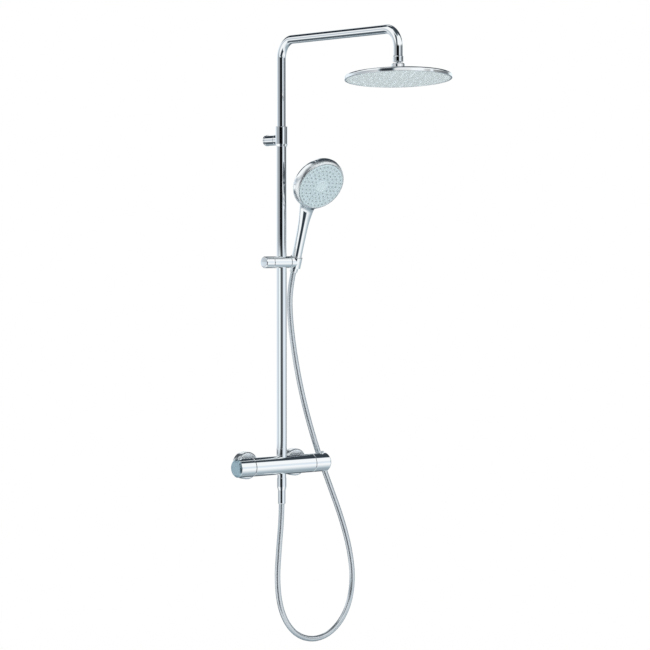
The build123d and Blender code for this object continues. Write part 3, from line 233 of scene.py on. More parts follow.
def tangents(points):
    """The direction of a line at each of its points."""
    found = []
    for i in range(len(points)):
        before = points[max(i - 1, 0)]
        after = points[min(i + 1, len(points) - 1)]
        found.append((after - before).normalized())
    return found


def rings_along(points, radius, segments):
    """Rings of points round a line, turned as little as possible from one to the next."""
    along = tangents(points)
    side = along[0].orthogonal().normalized()
    angles = [2 * math.pi * k / segments for k in range(segments)]
    rings = []
    for i, (point, ahead) in enumerate(zip(points, along)):
        if i:
            side = along[i - 1].rotation_difference(ahead) @ side
        side = (side - ahead * side.dot(ahead)).normalized()
        across = ahead.cross(side)
        rings.append([point + (side * math.cos(t) + across * math.sin(t)) * radius for t in angles])
    return rings


def skin(name, rings):
    """A mesh object with faces between rings of equal length, closed at both ends and shaded as round."""
    count = len(rings[0])
    vertices = [tuple(point) for ring in rings for point in ring]
    faces = []
    for i in range(len(rings) - 1):
        for k in range(count):
            following = (k + 1) % count
            low = i * count
            high = low + count
            faces.append((low + k, low + following, high + following, high + k))
    last_ring = (len(rings) - 1) * count
    faces.append(tuple(reversed(range(count))))
    faces.append(tuple(range(last_ring, last_ring + count)))
    mesh = bpy.data.meshes.new(name)
    mesh.from_pydata(vertices, [], faces)
    made = bmesh.new()
    made.from_mesh(mesh)
    bmesh.ops.recalc_face_normals(made, faces=made.faces)
    made.to_mesh(mesh)
    made.free()
    mesh.shade_smooth()
    outward = []
    for ring in rings:
        center = sum(ring, Vector()) / count
        outward += [tuple((point - center).normalized()) for point in ring]
    mesh.normals_split_custom_set_from_vertices(outward)
    return add_object(name, mesh)


def first_above(points, start, height):
    """Number of the first point after a start that is higher than a height."""
    return next(i for i in range(start, len(points)) if points[i].z > height)


hose_line = nurbs_points("hose_line", HOSE_ROUTE, HOSE_STEPS)
hose_rings = rings_along(hose_line, HOSE_R, HOSE_SIDES)
turn = max(range(len(hose_line)), key=lambda i: hose_line[i].x)
upper = first_above(hose_line, turn, TILT_FROM_Z)
top = first_above(hose_line, turn, LIFT_FROM_Z)
last = len(hose_line) - 1
HOSE_PIECES = [
    # name, first and last point, the two bodies, and where it turns from one to the other
    ("hose_loop", 0, turn, "column", "slider_sleeve", (0.012, 0.0, 0.0), (0.248, 0.0, 0.0)),
    ("hose_climb", turn, upper, "slider_sleeve", "slider", (0.0, 0.0, 0.120), (0.0, 0.0, 0.290)),
    ("hose_upper", upper, top, "slider", "holder", (0.0, 0.0, 0.299), (0.0, 0.0, 0.393)),
    ("hose_top", top, last, "holder", "handset", (0.0, 0.0, 0.398), (0.0, 0.0, 0.470)),
]
hose = []
for name, first, final, below, above, start, end in HOSE_PIECES:
    piece = skin(name, hose_rings[first : final + 1])
    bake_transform(piece)
    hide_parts("shower_hose")
    hose.append(piece)


# Materials
GLOSS_SPREAD = 0.3  # how far the roughness varies, as a share
WEAR_GRAIN = 6.0  # how much finer the gloss varies than the colour
WEAR_RANGE = (0.25, 0.75)
BUMP_GRAIN = 40.0  # how much finer the surface varies than the colour
BUMP_STRENGTH = 0.35
BEZEL_BACK = -0.2115  # the front ring of the hand shower's head, along the face's axis
BEZEL_FRONT = -0.2065
BEZEL_LOW_Z = 0.640  # below it the handle stays polished
BEZEL_HIGH_Z = 0.662
BEZEL_ROUGH = 0.30


def finish_material(name, base, metallic, roughness, spread, grain, bump, satin=None):
    """A solid finish whose colour, gloss and surface vary slightly from place to place."""
    material = bpy.data.materials.new(name)
    material.use_nodes = True
    graph = Graph(material.node_tree)
    place = graph.add("ShaderNodeTexCoord").outputs["Object"]
    shader = graph.add("ShaderNodeBsdfPrincipled")
    output = graph.add("ShaderNodeOutputMaterial")
    cloud = graph.noise(place, grain)
    tint = graph.mix_color(cloud, shaded(base, 1.0 - spread), base)
    graph.link(tint, shader.inputs["Base Color"])
    wear = graph.noise(place, grain * WEAR_GRAIN, detail=5.0)
    smoothest = roughness * (1.0 - GLOSS_SPREAD)
    roughest = roughness * (1.0 + GLOSS_SPREAD)
    gloss = graph.fade(wear, *WEAR_RANGE, smoothest, roughest)
    if satin:
        gloss = graph.math("ADD", gloss, satin(graph, place))
    graph.link(gloss, shader.inputs["Roughness"])
    shader.inputs["Metallic"].default_value = metallic
    if bump:
        fine = graph.noise(place, grain * BUMP_GRAIN, detail=2.0)
        graph.link(graph.bump(fine, BUMP_STRENGTH, bump), shader.inputs["Normal"])
    graph.link(shader.outputs["BSDF"], output.inputs["Surface"])
    return material


def bezel_satin(graph, place):
    """Extra roughness on the front ring round the hand shower's face."""
    forward = graph.dot(place, tuple(FACE_AXIS))
    front = graph.fade(forward, BEZEL_BACK, BEZEL_FRONT, 0.0, BEZEL_ROUGH)
    upper_part = graph.fade(graph.dot(place, tuple(UP)), BEZEL_LOW_Z, BEZEL_HIGH_Z)
    return graph.math("MULTIPLY", front, upper_part)


FINISHES = {
    # colour, metallic, roughness, spread of the colour, grain, height of the fine bump
    "chrome": ((0.885, 0.915, 0.93), 1.0, 0.03, 0.03, 9.0, 0.0),
    "chromed_plastic": ((0.88, 0.915, 0.93), 1.0, 0.04, 0.03, 9.0, 0.0),
    "shell_finish": ((0.88, 0.915, 0.93), 1.0, 0.04, 0.03, 9.0, 0.0, bezel_satin),
    "spray_grey": ((0.80, 0.89, 0.91), 0.1, 0.34, 0.06, 30.0, 0.0),
    "silicone": ((0.72, 0.81, 0.83), 0.0, 0.5, 0.08, 60.0, 0.0001),
    "hose_silver": ((0.585, 0.635, 0.67), 0.85, 0.2, 0.06, 18.0, 0.0),
    "brass": ((0.72, 0.56, 0.28), 1.0, 0.3, 0.12, 40.0, 0.0),
    "steel": ((0.6, 0.6, 0.62), 1.0, 0.32, 0.1, 60.0, 0.0),
    "valve_plastic": ((0.82, 0.82, 0.8), 0.0, 0.45, 0.06, 40.0, 0.0001),
    # spray_plate is the spray grey darkened, as painted shade of the hand shower's down-turned face
    "spray_plate": ((0.51, 0.62, 0.65), 0.1, 0.34, 0.06, 30.0, 0.0),
    # spray_hub is the same painted shade: the plate's darkened grey, a little lighter
    "spray_hub": ((0.55, 0.66, 0.69), 0.1, 0.3, 0.05, 30.0, 0.0),
    "satin_end": ((0.41, 0.56, 0.63), 1.0, 0.34, 0.05, 24.0, 0.0),
    # the next row is the hand shower's nozzle silicone, darkened with the painted shade of its face and
    # darker still than the plate
    "silicone_painted_shade": ((0.34, 0.41, 0.44), 0.0, 0.55, 0.12, 60.0, 0.0002),
    "soft_chrome": ((0.86, 0.90, 0.92), 1.0, 0.27, 0.04, 12.0, 0.0),
    "rubber": ((0.05, 0.05, 0.05), 0.0, 0.6, 0.2, 60.0, 0.0002),
}
MATERIALS = {}
for name, (base, *surface) in FINISHES.items():
    MATERIALS[name] = finish_material(name, color(*base), *surface)
for row in frame["record"]["subparts"]:
    node = frame["nodes"][row["node"]]
    node.data.materials.clear()
    node.data.materials.append(MATERIALS[row["material_slot"]])
for piece in hose:
    piece.data.materials.append(MATERIALS["hose_silver"])


# Turned, swept and formed pieces. Sizes in millimetres, changed into metres as each mesh is made.
MM = 0.001
ON_AXIS = 1e-6  # a smaller radius is a single point
SHARP = 0.12  # a profile's bend, in radians, from which its corner is rounded
CORNER_SHARE = 0.48  # how much of the shorter edge a rounded corner may take


def turned_by(vector, angle):
    """A flat vector turned by an angle."""
    c = math.cos(angle)
    s = math.sin(angle)
    return (vector[0] * c - vector[1] * s, vector[0] * s + vector[1] * c)


def rounded(profile, closed, steps):
    """Points along a profile of (radius, height, corner radius), with the surface's direction at each."""
    count = len(profile)
    found = []
    area = 0.0
    for i in range(count):
        a = profile[i]
        b = profile[(i + 1) % count]
        area += a[0] * b[1] - b[0] * a[1]
    outward = 1.0 if area > 0.0 else -1.0
    for i, (radius, height, corner) in enumerate(profile):
        first = not closed and i == 0
        final = not closed and i == count - 1
        before = profile[i - 1]
        after = profile[(i + 1) % count]
        into = Vector((radius - before[0], height - before[1]))
        away = Vector((after[0] - radius, after[1] - height))
        if first:
            into = away
        if final:
            away = into
        bend = math.atan2(into.x * away.y - into.y * away.x, into.dot(away))
        ahead = into.normalized()
        if abs(bend) < SHARP:
            ahead = Vector(turned_by(ahead, bend / 2.0))
            found.append(((radius, height), (outward * ahead.y, -outward * ahead.x)))
            continue
        half = math.tan(abs(bend) / 2.0)
        trim = min(corner * half, CORNER_SHARE * into.length, CORNER_SHARE * away.length)
        bow = trim / half
        side = 1.0 if bend > 0.0 else -1.0
        left = Vector((-ahead.y, ahead.x)) * side
        center = Vector((radius, height)) - ahead * trim + left * bow
        for k in range(steps + 1):
            spoke = turned_by(-left * bow, bend * k / steps)
            run = turned_by(ahead, bend * k / steps)
            spot = (center.x + spoke[0], center.y + spoke[1])
            found.append((spot, (outward * run[1], -outward * run[0])))
    if outward < 0.0:
        found.reverse()
    return found


class Shape:
    """Points, faces and surface directions gathered for one mesh."""

    def __init__(self):
        self.points = []
        self.directions = []
        self.faces = []

    def turned(self, profile, origin, axis, closed=False, segments=96, steps=5):
        """A profile of (radius, height, corner radius) turned about an axis through an origin."""
        up = Vector(axis).normalized()
        side = up.orthogonal().normalized()
        across = up.cross(side)
        rows = []
        for (radius, height), (out, rise) in rounded(profile, closed, steps):
            row = []
            single = radius < ON_AXIS
            for k in range(1 if single else segments):
                angle = 2.0 * math.pi * k / segments
                spoke = side * math.cos(angle) + across * math.sin(angle)
                row.append(len(self.points))
                self.points.append((Vector(origin) + up * height + spoke * radius) * MM)
                self.directions.append(up * rise if single else spoke * out + up * rise)
            rows.append(row)
        pairs = list(zip(rows, rows[1:]))
        if closed:
            pairs.append((rows[-1], rows[0]))
        for low, high in pairs:
            self.between(low, high, segments)
        return self

    def between(self, low, high, segments):
        """Faces between two rows of points, one of which may be a single point."""
        for k in range(segments):
            n = (k + 1) % segments
            if len(low) == 1:
                self.faces.append((low[0], high[n], high[k]))
            elif len(high) == 1:
                self.faces.append((low[k], low[n], high[0]))
            else:
                self.faces.append((low[k], low[n], high[n], high[k]))

    def swept(self, line, radius, side, segments):
        """A round tube along a flat line, with a constant sideways direction."""
        rows = []
        for point, ahead in zip(line, tangents(line)):
            across = ahead.cross(side)
            row = []
            for k in range(segments):
                angle = 2.0 * math.pi * k / segments
                spoke = side * math.cos(angle) + across * math.sin(angle)
                row.append(len(self.points))
                self.points.append((point + spoke * radius) * MM)
                self.directions.append(spoke)
            rows.append(row)
        for low, high in zip(rows, rows[1:]):
            self.between(low, high, segments)
        return self

    def make(self, name, body, slot, *replaced, finish=None):
        """The mesh as a piece that rides on a body and stands for CAD nodes."""
        mesh = bpy.data.meshes.new(name)
        mesh.from_pydata([tuple(point) for point in self.points], [], self.faces)
        mesh.shade_smooth()
        mesh.update()
        mesh.normals_split_custom_set_from_vertices([tuple(d.normalized()) for d in self.directions])
        piece = add_object(name, mesh)
        mesh.materials.append(MATERIALS[finish or slot])
        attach(piece, body)
        if replaced:
            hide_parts(*replaced)
        return piece


def tube_profile(inner, outer, low, high, corner):
    """Profile of a plain tube with rounded outer edges."""
    return [
        (inner, low, 0.2),
        (outer, low, corner),
        (outer, high, corner),
        (inner, high, 0.2),
    ]


X_AXIS = (1.0, 0.0, 0.0)
Y_AXIS = (0.0, 1.0, 0.0)
Z_AXIS = (0.0, 0.0, 1.0)
WALL_OUT = (0.0, -1.0, 0.0)
RISER_Y = -60.0
RISER_AT = (0.0, RISER_Y, 0.0)

# Mixer: end handles with their caps and buttons, wall covers and coupling nuts
HANDLE_R = 23.0
BUTTON_X = 127.0
END_FACE_X = 137.1
HANDLES = [
    # side, handle, button
    (1.0, "temperature_handle", "safety_button"),
    (-1.0, "flow_handle", "eco_button"),
]
for side, handle, button in HANDLES:
    cap = handle + "_cap"
    grip = Shape().turned(
        [
            (0.0, 93.0, 0.2),
            (22.2, 93.0, 0.4),
            (HANDLE_R, 93.8, 0.8),
            (HANDLE_R, 136.5, 1.6),
            (19.0, 141.0, 0.8),
            (17.15, 141.0, 0.3),
            (17.15, 137.6, 0.3),
            (0.0, 137.6, 0.2),
        ],
        RISER_AT,
        (side, 0.0, 0.0),
        segments=128,
    ).make(handle + "_turned", handle, "chrome", handle)
    grip.data.materials.append(MATERIALS["satin_end"])
    for polygon in grip.data.polygons:
        if abs(polygon.center.x) > END_FACE_X * MM:
            polygon.material_index = 1
    Shape().turned(
        [
            (0.0, 137.4, 0.2),
            (16.9, 137.4, 0.2),
            (17.0, 140.9, 0.5),
            (14.6, 141.0, 0.3),
            (14.2, 140.7, 0.3),
            (0.0, 140.6, 0.2),
        ],
        RISER_AT,
        (side, 0.0, 0.0),
        segments=128,
    ).make(cap + "_turned", handle, "chromed_plastic", cap, finish="satin_end")
    Shape().turned(
        [
            (0.0, 14.0, 0.2),
            (4.5, 14.0, 0.2),
            (4.5, 27.7, 1.1),
            (3.0, 28.25, 1.5),
            (0.0, 28.3, 0.2),
        ],
        (side * BUTTON_X, RISER_Y, 0.0),
        Z_AXIS,
        segments=48,
    ).make(button + "_turned", button, "chromed_plastic", button)

INLET_X = 75.0
ROSETTE_R = 33.8
shape = Shape()
for x in (-INLET_X, INLET_X):
    shape.turned(
        [
            (32.3, 0.0, 0.3),
            (ROSETTE_R, 0.0, 0.4),
            (ROSETTE_R, 19.0, 2.8),
            (30.8, 22.0, 2.8),
            (18.0, 22.0, 0.9),
            (18.0, 20.5, 0.4),
            (30.2, 20.5, 2.0),
            (32.3, 18.4, 2.0),
        ],
        (x, 0.0, 0.0),
        WALL_OUT,
        closed=True,
        segments=128,
    )
shape.make("rosettes_turned", "column", "chrome", "rosettes", finish="soft_chrome")

NUT_FLAT = 15.0  # from the nut's axis to its flats
NUT_LOW = 15.0
NUT_HIGH = 35.0
NUT_BORE = 12.9
NUT_EDGE = 0.5
NUT_RIM = 0.15
NUT_SEGMENTS = 144
NUT_SHARP_DEG = 18.0
TWELFTH = math.pi / 6.0  # of a turn


def hexagon_nut(x):
    """Rows of points of an inlet's nut, whose corners are turned back by 30 degrees at both ends."""
    up = Vector(WALL_OUT)
    side = Vector(Z_AXIS)
    other = up.cross(side)
    corner = NUT_FLAT / math.cos(TWELFTH)
    drop = (corner - NUT_FLAT) * math.tan(TWELFTH)
    heights = [
        (NUT_LOW, NUT_FLAT - NUT_EDGE),
        (NUT_LOW + NUT_RIM, NUT_FLAT),
        (NUT_LOW + drop + NUT_EDGE, corner),
        (NUT_HIGH - drop - NUT_EDGE, corner),
        (NUT_HIGH - NUT_RIM, NUT_FLAT),
        (NUT_HIGH, NUT_FLAT - NUT_EDGE),
    ]
    for share in (0.25, 0.5, 0.75):
        limit = NUT_FLAT + share * (corner - NUT_FLAT)
        heights.append((NUT_LOW + drop * share, limit))
        heights.append((NUT_HIGH - drop * share, limit))
    heights = [(NUT_LOW, NUT_BORE)] + sorted(heights) + [(NUT_HIGH, NUT_BORE)]
    rows = []
    for height, limit in heights:
        row = []
        for k in range(NUT_SEGMENTS):
            angle = 2.0 * math.pi * k / NUT_SEGMENTS
            lean = (angle + TWELFTH) % (2.0 * TWELFTH) - TWELFTH
            radius = min(limit, NUT_FLAT / math.cos(lean))
            spoke = side * math.cos(angle) + other * math.sin(angle)
            row.append(Vector((x, 0.0, 0.0)) + up * height + spoke * radius)
        rows.append(row)
    return rows


def nuts(name, body, slot, node):
    """Both coupling nuts as one piece, with crisp edges between their flats."""
    mesh = bpy.data.meshes.new(name)
    made = bmesh.new()
    for x in (-INLET_X, INLET_X):
        rows = hexagon_nut(x)
        grid = [[made.verts.new(point * MM) for point in row] for row in rows]
        for low, high in zip(grid, grid[1:] + grid[:1]):
            for k in range(len(low)):
                n = (k + 1) % len(low)
                made.faces.new((low[k], low[n], high[n], high[k]))
    bmesh.ops.recalc_face_normals(made, faces=made.faces)
    made.to_mesh(mesh)
    made.free()
    mesh.shade_smooth()
    mesh.set_sharp_from_angle(angle=math.radians(NUT_SHARP_DEG))
    piece = add_object(name, mesh)
    mesh.materials.append(MATERIALS[slot])
    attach(piece, body)
    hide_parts(node)


nuts("coupling_nuts_cut", "column", "chrome", "coupling_nuts")

# Riser with its nut, and the hose's nut and sleeve below the mixer
Shape().turned(
    [
        (12.0, 25.5, 0.2),
        (13.2, 25.5, 0.5),
        (13.2, 40.6, 0.4),
        (12.95, 41.0, 0.3),
        (12.95, 42.5, 0.4),
        (12.0, 42.5, 0.2),
    ],
    RISER_AT,
    Z_AXIS,
    closed=True,
).make("riser_nut_turned", "column", "chrome", "riser_nut")
Shape().turned(
    tube_profile(11.0, 12.5, 27.5, 811.5, 0.4),
    RISER_AT,
    Z_AXIS,
    closed=True,
    segments=128,
).make("riser_tube_drawn", "column", "chrome", "riser_tube")
Shape().turned(
    [
        (9.0, -31.4, 0.2),
        (11.8, -31.4, 0.7),
        (11.8, -53.2, 1.2),
        (9.4, -62.0, 1.6),
        (9.4, -94.6, 0.9),
        (8.6, -96.0, 0.5),
        (7.4, -96.0, 0.2),
        (7.4, -90.0, 0.2),
        (9.0, -60.0, 0.2),
    ],
    RISER_AT,
    Z_AXIS,
    closed=True,
).make("hose_nut_turned", "column", "chrome", "hose_nut")

# Wall bracket: collar with its stub, stem and foot
BRACKET_Z = 804.5
shape = Shape().turned(
    [
        (12.6, 788.0, 0.2),
        (13.4, 788.0, 0.4),
        (15.0, 794.0, 2.0),
        (15.0, 836.0, 0.9),
        (14.0, 837.0, 0.5),
        (11.1, 837.0, 0.2),
        (11.1, 826.0, 0.2),
        (12.6, 812.0, 0.2),
    ],
    RISER_AT,
    Z_AXIS,
    closed=True,
)
shape.turned(
    [(0.0, -60.0, 0.2), (13.2, -60.0, 0.2), (13.2, -42.0, 0.4), (0.0, -42.0, 0.2)],
    (0.0, 0.0, BRACKET_Z),
    Y_AXIS,
)
shape.make("bracket_collar_turned", "column", "chrome", "bracket_collar")
Shape().turned(
    [
        (0.0, -42.0, 0.2),
        (12.6, -42.0, 0.1),
        (12.6, -40.4, 0.1),
        (13.2, -39.8, 0.4),
        (13.2, -5.0, 0.4),
        (0.0, -5.0, 0.2),
    ],
    (0.0, 0.0, BRACKET_Z),
    Y_AXIS,
).make("bracket_stem_turned", "column", "chrome", "bracket_stem")

# Arm: one drawn tube with two bends
ARM_R = 11.0
ARM_BEND = 45.0
ARM_STEPS = 28
ARM_TOP_Z = 1049.0
ARM_OUT_Y = -510.0
ARM_END_Z = 984.0
arm_low_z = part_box("shower_arm")[0][2] / MM


def bend_points(center, start_deg, end_deg):
    """Points round a bend in the arm's upright plane."""
    found = []
    for k in range(ARM_STEPS + 1):
        angle = math.radians(start_deg + (end_deg - start_deg) * k / ARM_STEPS)
        out = ARM_BEND * math.cos(angle)
        rise = ARM_BEND * math.sin(angle)
        found.append(Vector((0.0, center[0] + out, center[1] + rise)))
    return found


arm_line = [Vector((0.0, RISER_Y, arm_low_z))]
arm_line += bend_points((RISER_Y - ARM_BEND, ARM_TOP_Z - ARM_BEND), 0.0, 90.0)
arm_line += bend_points((ARM_OUT_Y + ARM_BEND, ARM_TOP_Z - ARM_BEND), 90.0, 180.0)
arm_line.append(Vector((0.0, ARM_OUT_Y, ARM_END_Z)))
shape = Shape().swept(arm_line, ARM_R, Vector(X_AXIS), segments=96)
shape.turned(
    tube_profile(9.6, ARM_R, ARM_END_Z - 0.01, ARM_END_Z + 2.0, 0.3),
    (0.0, ARM_OUT_Y, 0.0),
    Z_AXIS,
    closed=True,
)
shape.make("shower_arm_drawn", "arm", "chrome", "shower_arm")

# Rain head: ball and its nut, cap, shell, face and soft nozzles
BALL = Vector((0.0, ARM_OUT_Y, 959.0))
BALL_R = 9.5
BALL_STEPS = 20
BALL_SPAN_DEG = 135.0  # from the ball's lowest point up to its neck
ball_profile = [(0.0, -BALL_R, 0.2)]
for k in range(1, BALL_STEPS + 1):
    angle = math.radians(-90.0 + BALL_SPAN_DEG * k / BALL_STEPS)
    ball_profile.append((BALL_R * math.cos(angle), BALL_R * math.sin(angle), 0.2))
Shape().turned(
    ball_profile
    + [
        (6.5, 8.2, 0.6),
        (6.5, 11.5, 0.8),
        (11.4, 11.5, 0.4),
        (12.5, 12.6, 0.7),
        (12.5, 23.4, 0.7),
        (11.6, 25.0, 0.6),
        (0.0, 25.0, 0.2),
    ],
    BALL,
    Z_AXIS,
).make("ball_nut_turned", "arm", "chrome", "ball_nut")

HEAD_AXIS = Vector((0.0419, 0.0836, 0.9956)).normalized()
Shape().turned(
    [
        (9.6, -6.5, 0.2),
        (16.0, -6.5, 0.5),
        (16.0, 5.6, 1.2),
        (13.4, 8.0, 1.4),
        (9.6, 8.0, 0.8),
    ],
    BALL,
    HEAD_AXIS,
    closed=True,
).make("head_cap_turned", "rain_head", "chrome", "head_cap")


def arc_through(a, b, c, count):
    """Profile points of a circle's arc from a through b to c."""
    (ax, ay), (bx, by), (cx, cy) = a, b, c
    d = 2.0 * (ax * (by - cy) + bx * (cy - ay) + cx * (ay - by))
    sa = ax * ax + ay * ay
    sb = bx * bx + by * by
    sc = cx * cx + cy * cy
    ox = (sa * (by - cy) + sb * (cy - ay) + sc * (ay - by)) / d
    oy = (sa * (cx - bx) + sb * (ax - cx) + sc * (bx - ax)) / d
    first = math.atan2(ay - oy, ax - ox)
    final = math.atan2(cy - oy, cx - ox)
    radius = math.hypot(ax - ox, ay - oy)
    found = []
    for k in range(count + 1):
        angle = first + (final - first) * k / count
        found.append((ox + radius * math.cos(angle), oy + radius * math.sin(angle), 0.5))
    return found


crown = arc_through((18.0, -7.0), (65.0, -12.2), (110.0, -17.0), 22)
Shape().turned(
    [(0.0, -0.6, 0.2), (13.2, -0.6, 0.4), (14.0, -1.4, 0.5), (14.0, -5.6, 2.6)]
    + crown
    + [
        (125.0, -19.0, 8.4),
        (125.0, -28.4, 0.6),
        (124.4, -29.0, 0.4),
        (121.6, -29.0, 0.4),
        (121.6, -25.8, 0.2),
        (0.0, -25.8, 0.2),
    ],
    BALL,
    HEAD_AXIS,
    segments=160,
).make("head_shell_turned", "rain_head", "chrome", "head_shell")

RAIN_FACE_R = 121.4
RAIN_FACE_LOW = -28.5
RAIN_FACE_HIGH = -25.9
RING_STEP = 22.0
RING_COUNT = 5
RAIN_RINGS = [(RING_STEP * k, 6 * k) for k in range(1, RING_COUNT + 1)]
GROOVE_HALF = 0.7
GROOVE_FLOOR_HALF = 0.3
GROOVE_DEPTH = 0.45


def ring_groove(radius, face, floor):
    """Profile points of a shallow ring groove, from the height of a face to that of the groove's floor."""
    return [
        (radius + GROOVE_HALF, face, 0.3),
        (radius + GROOVE_FLOOR_HALF, floor, 0.2),
        (radius - GROOVE_FLOOR_HALF, floor, 0.2),
        (radius - GROOVE_HALF, face, 0.3),
    ]


face_line = [
    (0.0, RAIN_FACE_HIGH, 0.2),
    (RAIN_FACE_R, RAIN_FACE_HIGH, 0.2),
    (RAIN_FACE_R, RAIN_FACE_LOW, 0.7),
]
for ring in range(RING_COUNT, 0, -1):
    outer = ring * RING_STEP + RING_STEP / 2.0
    if outer < RAIN_FACE_R - 2.0:
        face_line += ring_groove(outer, RAIN_FACE_LOW, RAIN_FACE_LOW + GROOVE_DEPTH)
face_line.append((0.0, RAIN_FACE_LOW, 0.2))
Shape().turned(face_line, BALL, HEAD_AXIS, segments=160).make(
    "rain_face_turned", "rain_head", "spray_grey", "rain_face"
)

NOZZLE_SEGMENTS = 14


def nozzle_field(origin, axis, rings, profile):
    """Soft nozzles on rings about an axis, from pairs of radius and count."""
    shape = Shape()
    up = axis.normalized()
    side = (Vector(X_AXIS) - axis * axis.x).normalized()
    across = up.cross(side)
    for radius, count in rings:
        for k in range(count):
            angle = 2.0 * math.pi * k / count
            place = origin + (side * math.cos(angle) + across * math.sin(angle)) * radius
            shape.turned(profile, place, up, segments=NOZZLE_SEGMENTS, steps=2)
    return shape


RAIN_NOZZLE = [
    (0.0, 25.9, 0.2),
    (2.6, 25.9, 0.2),
    (2.6, 28.7, 0.3),
    (1.95, 29.1, 0.4),
    (1.45, 30.2, 0.35),
    (0.75, 30.3, 0.2),
    (0.6, 29.5, 0.2),
    (0.0, 29.4, 0.2),
]
shape = nozzle_field(BALL, -HEAD_AXIS, RAIN_RINGS, RAIN_NOZZLE)
shape.make("rain_nozzles_moulded", "rain_head", "silicone", "rain_nozzles")

# Slider: bar with its ring round the riser, and the locking knob
SLIDER_Y = -64.0
SLIDER_Z = 503.0
SLIDER_R = 14.5
shape = Shape().turned(
    [
        (0.0, -32.5, 0.2),
        (13.9, -32.5, 0.4),
        (SLIDER_R, -31.8, 0.5),
        (SLIDER_R, 18.8, 0.5),
        (13.9, 19.5, 0.4),
        (0.0, 19.5, 0.2),
    ],
    (0.0, SLIDER_Y, SLIDER_Z),
    X_AXIS,
    segments=128,
)
shape.turned(tube_profile(12.6, 15.4, -10.0, 10.0, 1.2), (0.0, RISER_Y, SLIDER_Z), Z_AXIS, closed=True)
shape.make("slider_body_turned", "slider", "chrome", "slider_body")
Shape().turned(
    [
        (0.0, -58.0, 0.2),
        (10.6, -57.9, 0.8),
        (13.0, -57.6, 1.4),
        (SLIDER_R, -55.6, 1.4),
        (SLIDER_R, -33.7, 0.5),
        (13.9, -33.0, 0.4),
        (0.0, -33.0, 0.2),
    ],
    (0.0, SLIDER_Y, SLIDER_Z),
    X_AXIS,
    segments=128,
).make("lock_knob_turned", "lock_knob", "chrome", "lock_knob")

# Hand shower: conical hose nut, then one flowing body of handle and head
HAND_AT = HAND_ORIGIN / MM
Shape().turned(
    [
        (7.2, -26.0, 0.2),
        (8.9, -26.0, 0.5),
        (9.8, -24.9, 0.8),
        (9.86, -23.4, 0.3),
        (9.6, -23.0, 0.2),
        (9.62, -22.2, 0.2),
        (9.95, -21.8, 0.3),
        (11.75, 13.4, 0.5),
        (11.2, 14.2, 0.4),
        (7.2, 14.2, 0.2),
    ],
    HAND_AT,
    HAND_UP,
    closed=True,
).make("hose_cone_nut_turned", "handset", "chrome", "hose_cone_nut")

HAND_TURN = math.radians(-4.5)
HAND_BACK = Vector((0.0, math.cos(HAND_LEAN), math.sin(HAND_LEAN)))
HAND_SIDE = (Vector(X_AXIS) * math.cos(HAND_TURN) + HAND_BACK * math.sin(HAND_TURN)).normalized()
HAND_DEEP = HAND_UP.cross(HAND_SIDE).normalized()
FACE_AT = Vector((36.705, -172.284, 688.873))
HANDLE_SECTIONS = [
    # distance up the handle, half width, half depth, shift backwards
    (12.0, 12.2, 12.2, 0.0),
    (60.0, 12.5, 12.1, 0.0),
    (110.0, 14.4, 13.0, 0.0),
    (145.0, 20.0, 15.0, -1.0),
    (175.0, 28.0, 11.0, -5.0),
    (200.0, 32.0, 6.0, -13.0),
]
HANDLE_LOW = 14.5
HANDLE_HIGH = 199.0
HEAD_KNOTS = [
    # radius and height over the face of the head's outline, from its back to its front edge
    (0.0, -38.0),
    (16.0, -37.2),
    (32.0, -34.9),
    (46.0, -31.5),
    (52.8, -29.6),
    (59.8, -27.0),
    (65.3, -23.3),
    (67.5, -18.0),
    (67.2, -12.9),
    (66.2, -7.7),
    (64.0, -3.1),
    (61.0, -0.5),
    (59.9, -0.4),
    (59.5, -1.6),
    (0.0, -1.6),
]
HEAD_STEPS = 10
HANDLE_ROWS = 60
HANDLE_SIDES = 48
BLEND_MM = 15.0
VOXEL_MM = 1.5
RELAX_FACTOR = 0.5
RELAX_ROUNDS = 6
SLOPE_STEP = 0.35
SLOPE_LEAST = 0.05
DRAW_ROUNDS = 8
DRAW_MOST = 3.0  # the furthest that a point moves in one round
TINY = 1e-9


def smooth_line(knots, count):
    """Points of a smooth line through knots, the last two knots kept as a straight run."""
    found = []
    curve = np.array(knots[:-2])
    for i in range(len(curve) - 1):
        p0 = curve[max(i - 1, 0)]
        p1 = curve[i]
        p2 = curve[i + 1]
        p3 = curve[min(i + 2, len(curve) - 1)]
        for k in range(count):
            t = k / count
            square = (2.0 * p0 - 5.0 * p1 + 4.0 * p2 - p3) * t * t
            cube = (3.0 * p1 - p0 - 3.0 * p2 + p3) * t ** 3
            found.append(0.5 * (2.0 * p1 + (p2 - p0) * t + square + cube))
    return np.array([*found, curve[-1], *knots[-2:]])


head_line = smooth_line(HEAD_KNOTS, HEAD_STEPS)
handle_table = np.array(HANDLE_SECTIONS)


def away_from_head(points):
    """Signed distance from points to the head's turned outline."""
    offset = points - np.array(FACE_AT)
    height = offset @ np.array(FACE_AXIS)
    radius = np.sqrt(np.maximum((offset ** 2).sum(axis=1) - height ** 2, 0.0))
    spot = np.stack([radius, height], axis=1)
    nearest = np.full(len(points), np.inf)
    inside = np.zeros(len(points), dtype=bool)
    for a, b in zip(head_line, head_line[1:]):
        run = b - a
        share = np.clip(((spot - a) @ run) / (run @ run), 0.0, 1.0)
        gap_vector = spot - a - share[:, None] * run
        nearest = np.minimum(nearest, np.sqrt((gap_vector ** 2).sum(axis=1)))
        crosses = (a[1] > height) != (b[1] > height)
        rise = run[1] if abs(run[1]) > TINY else TINY
        inside ^= crosses & (radius < a[0] + (height - a[1]) / rise * run[0])
    return np.where(inside, -nearest, nearest)


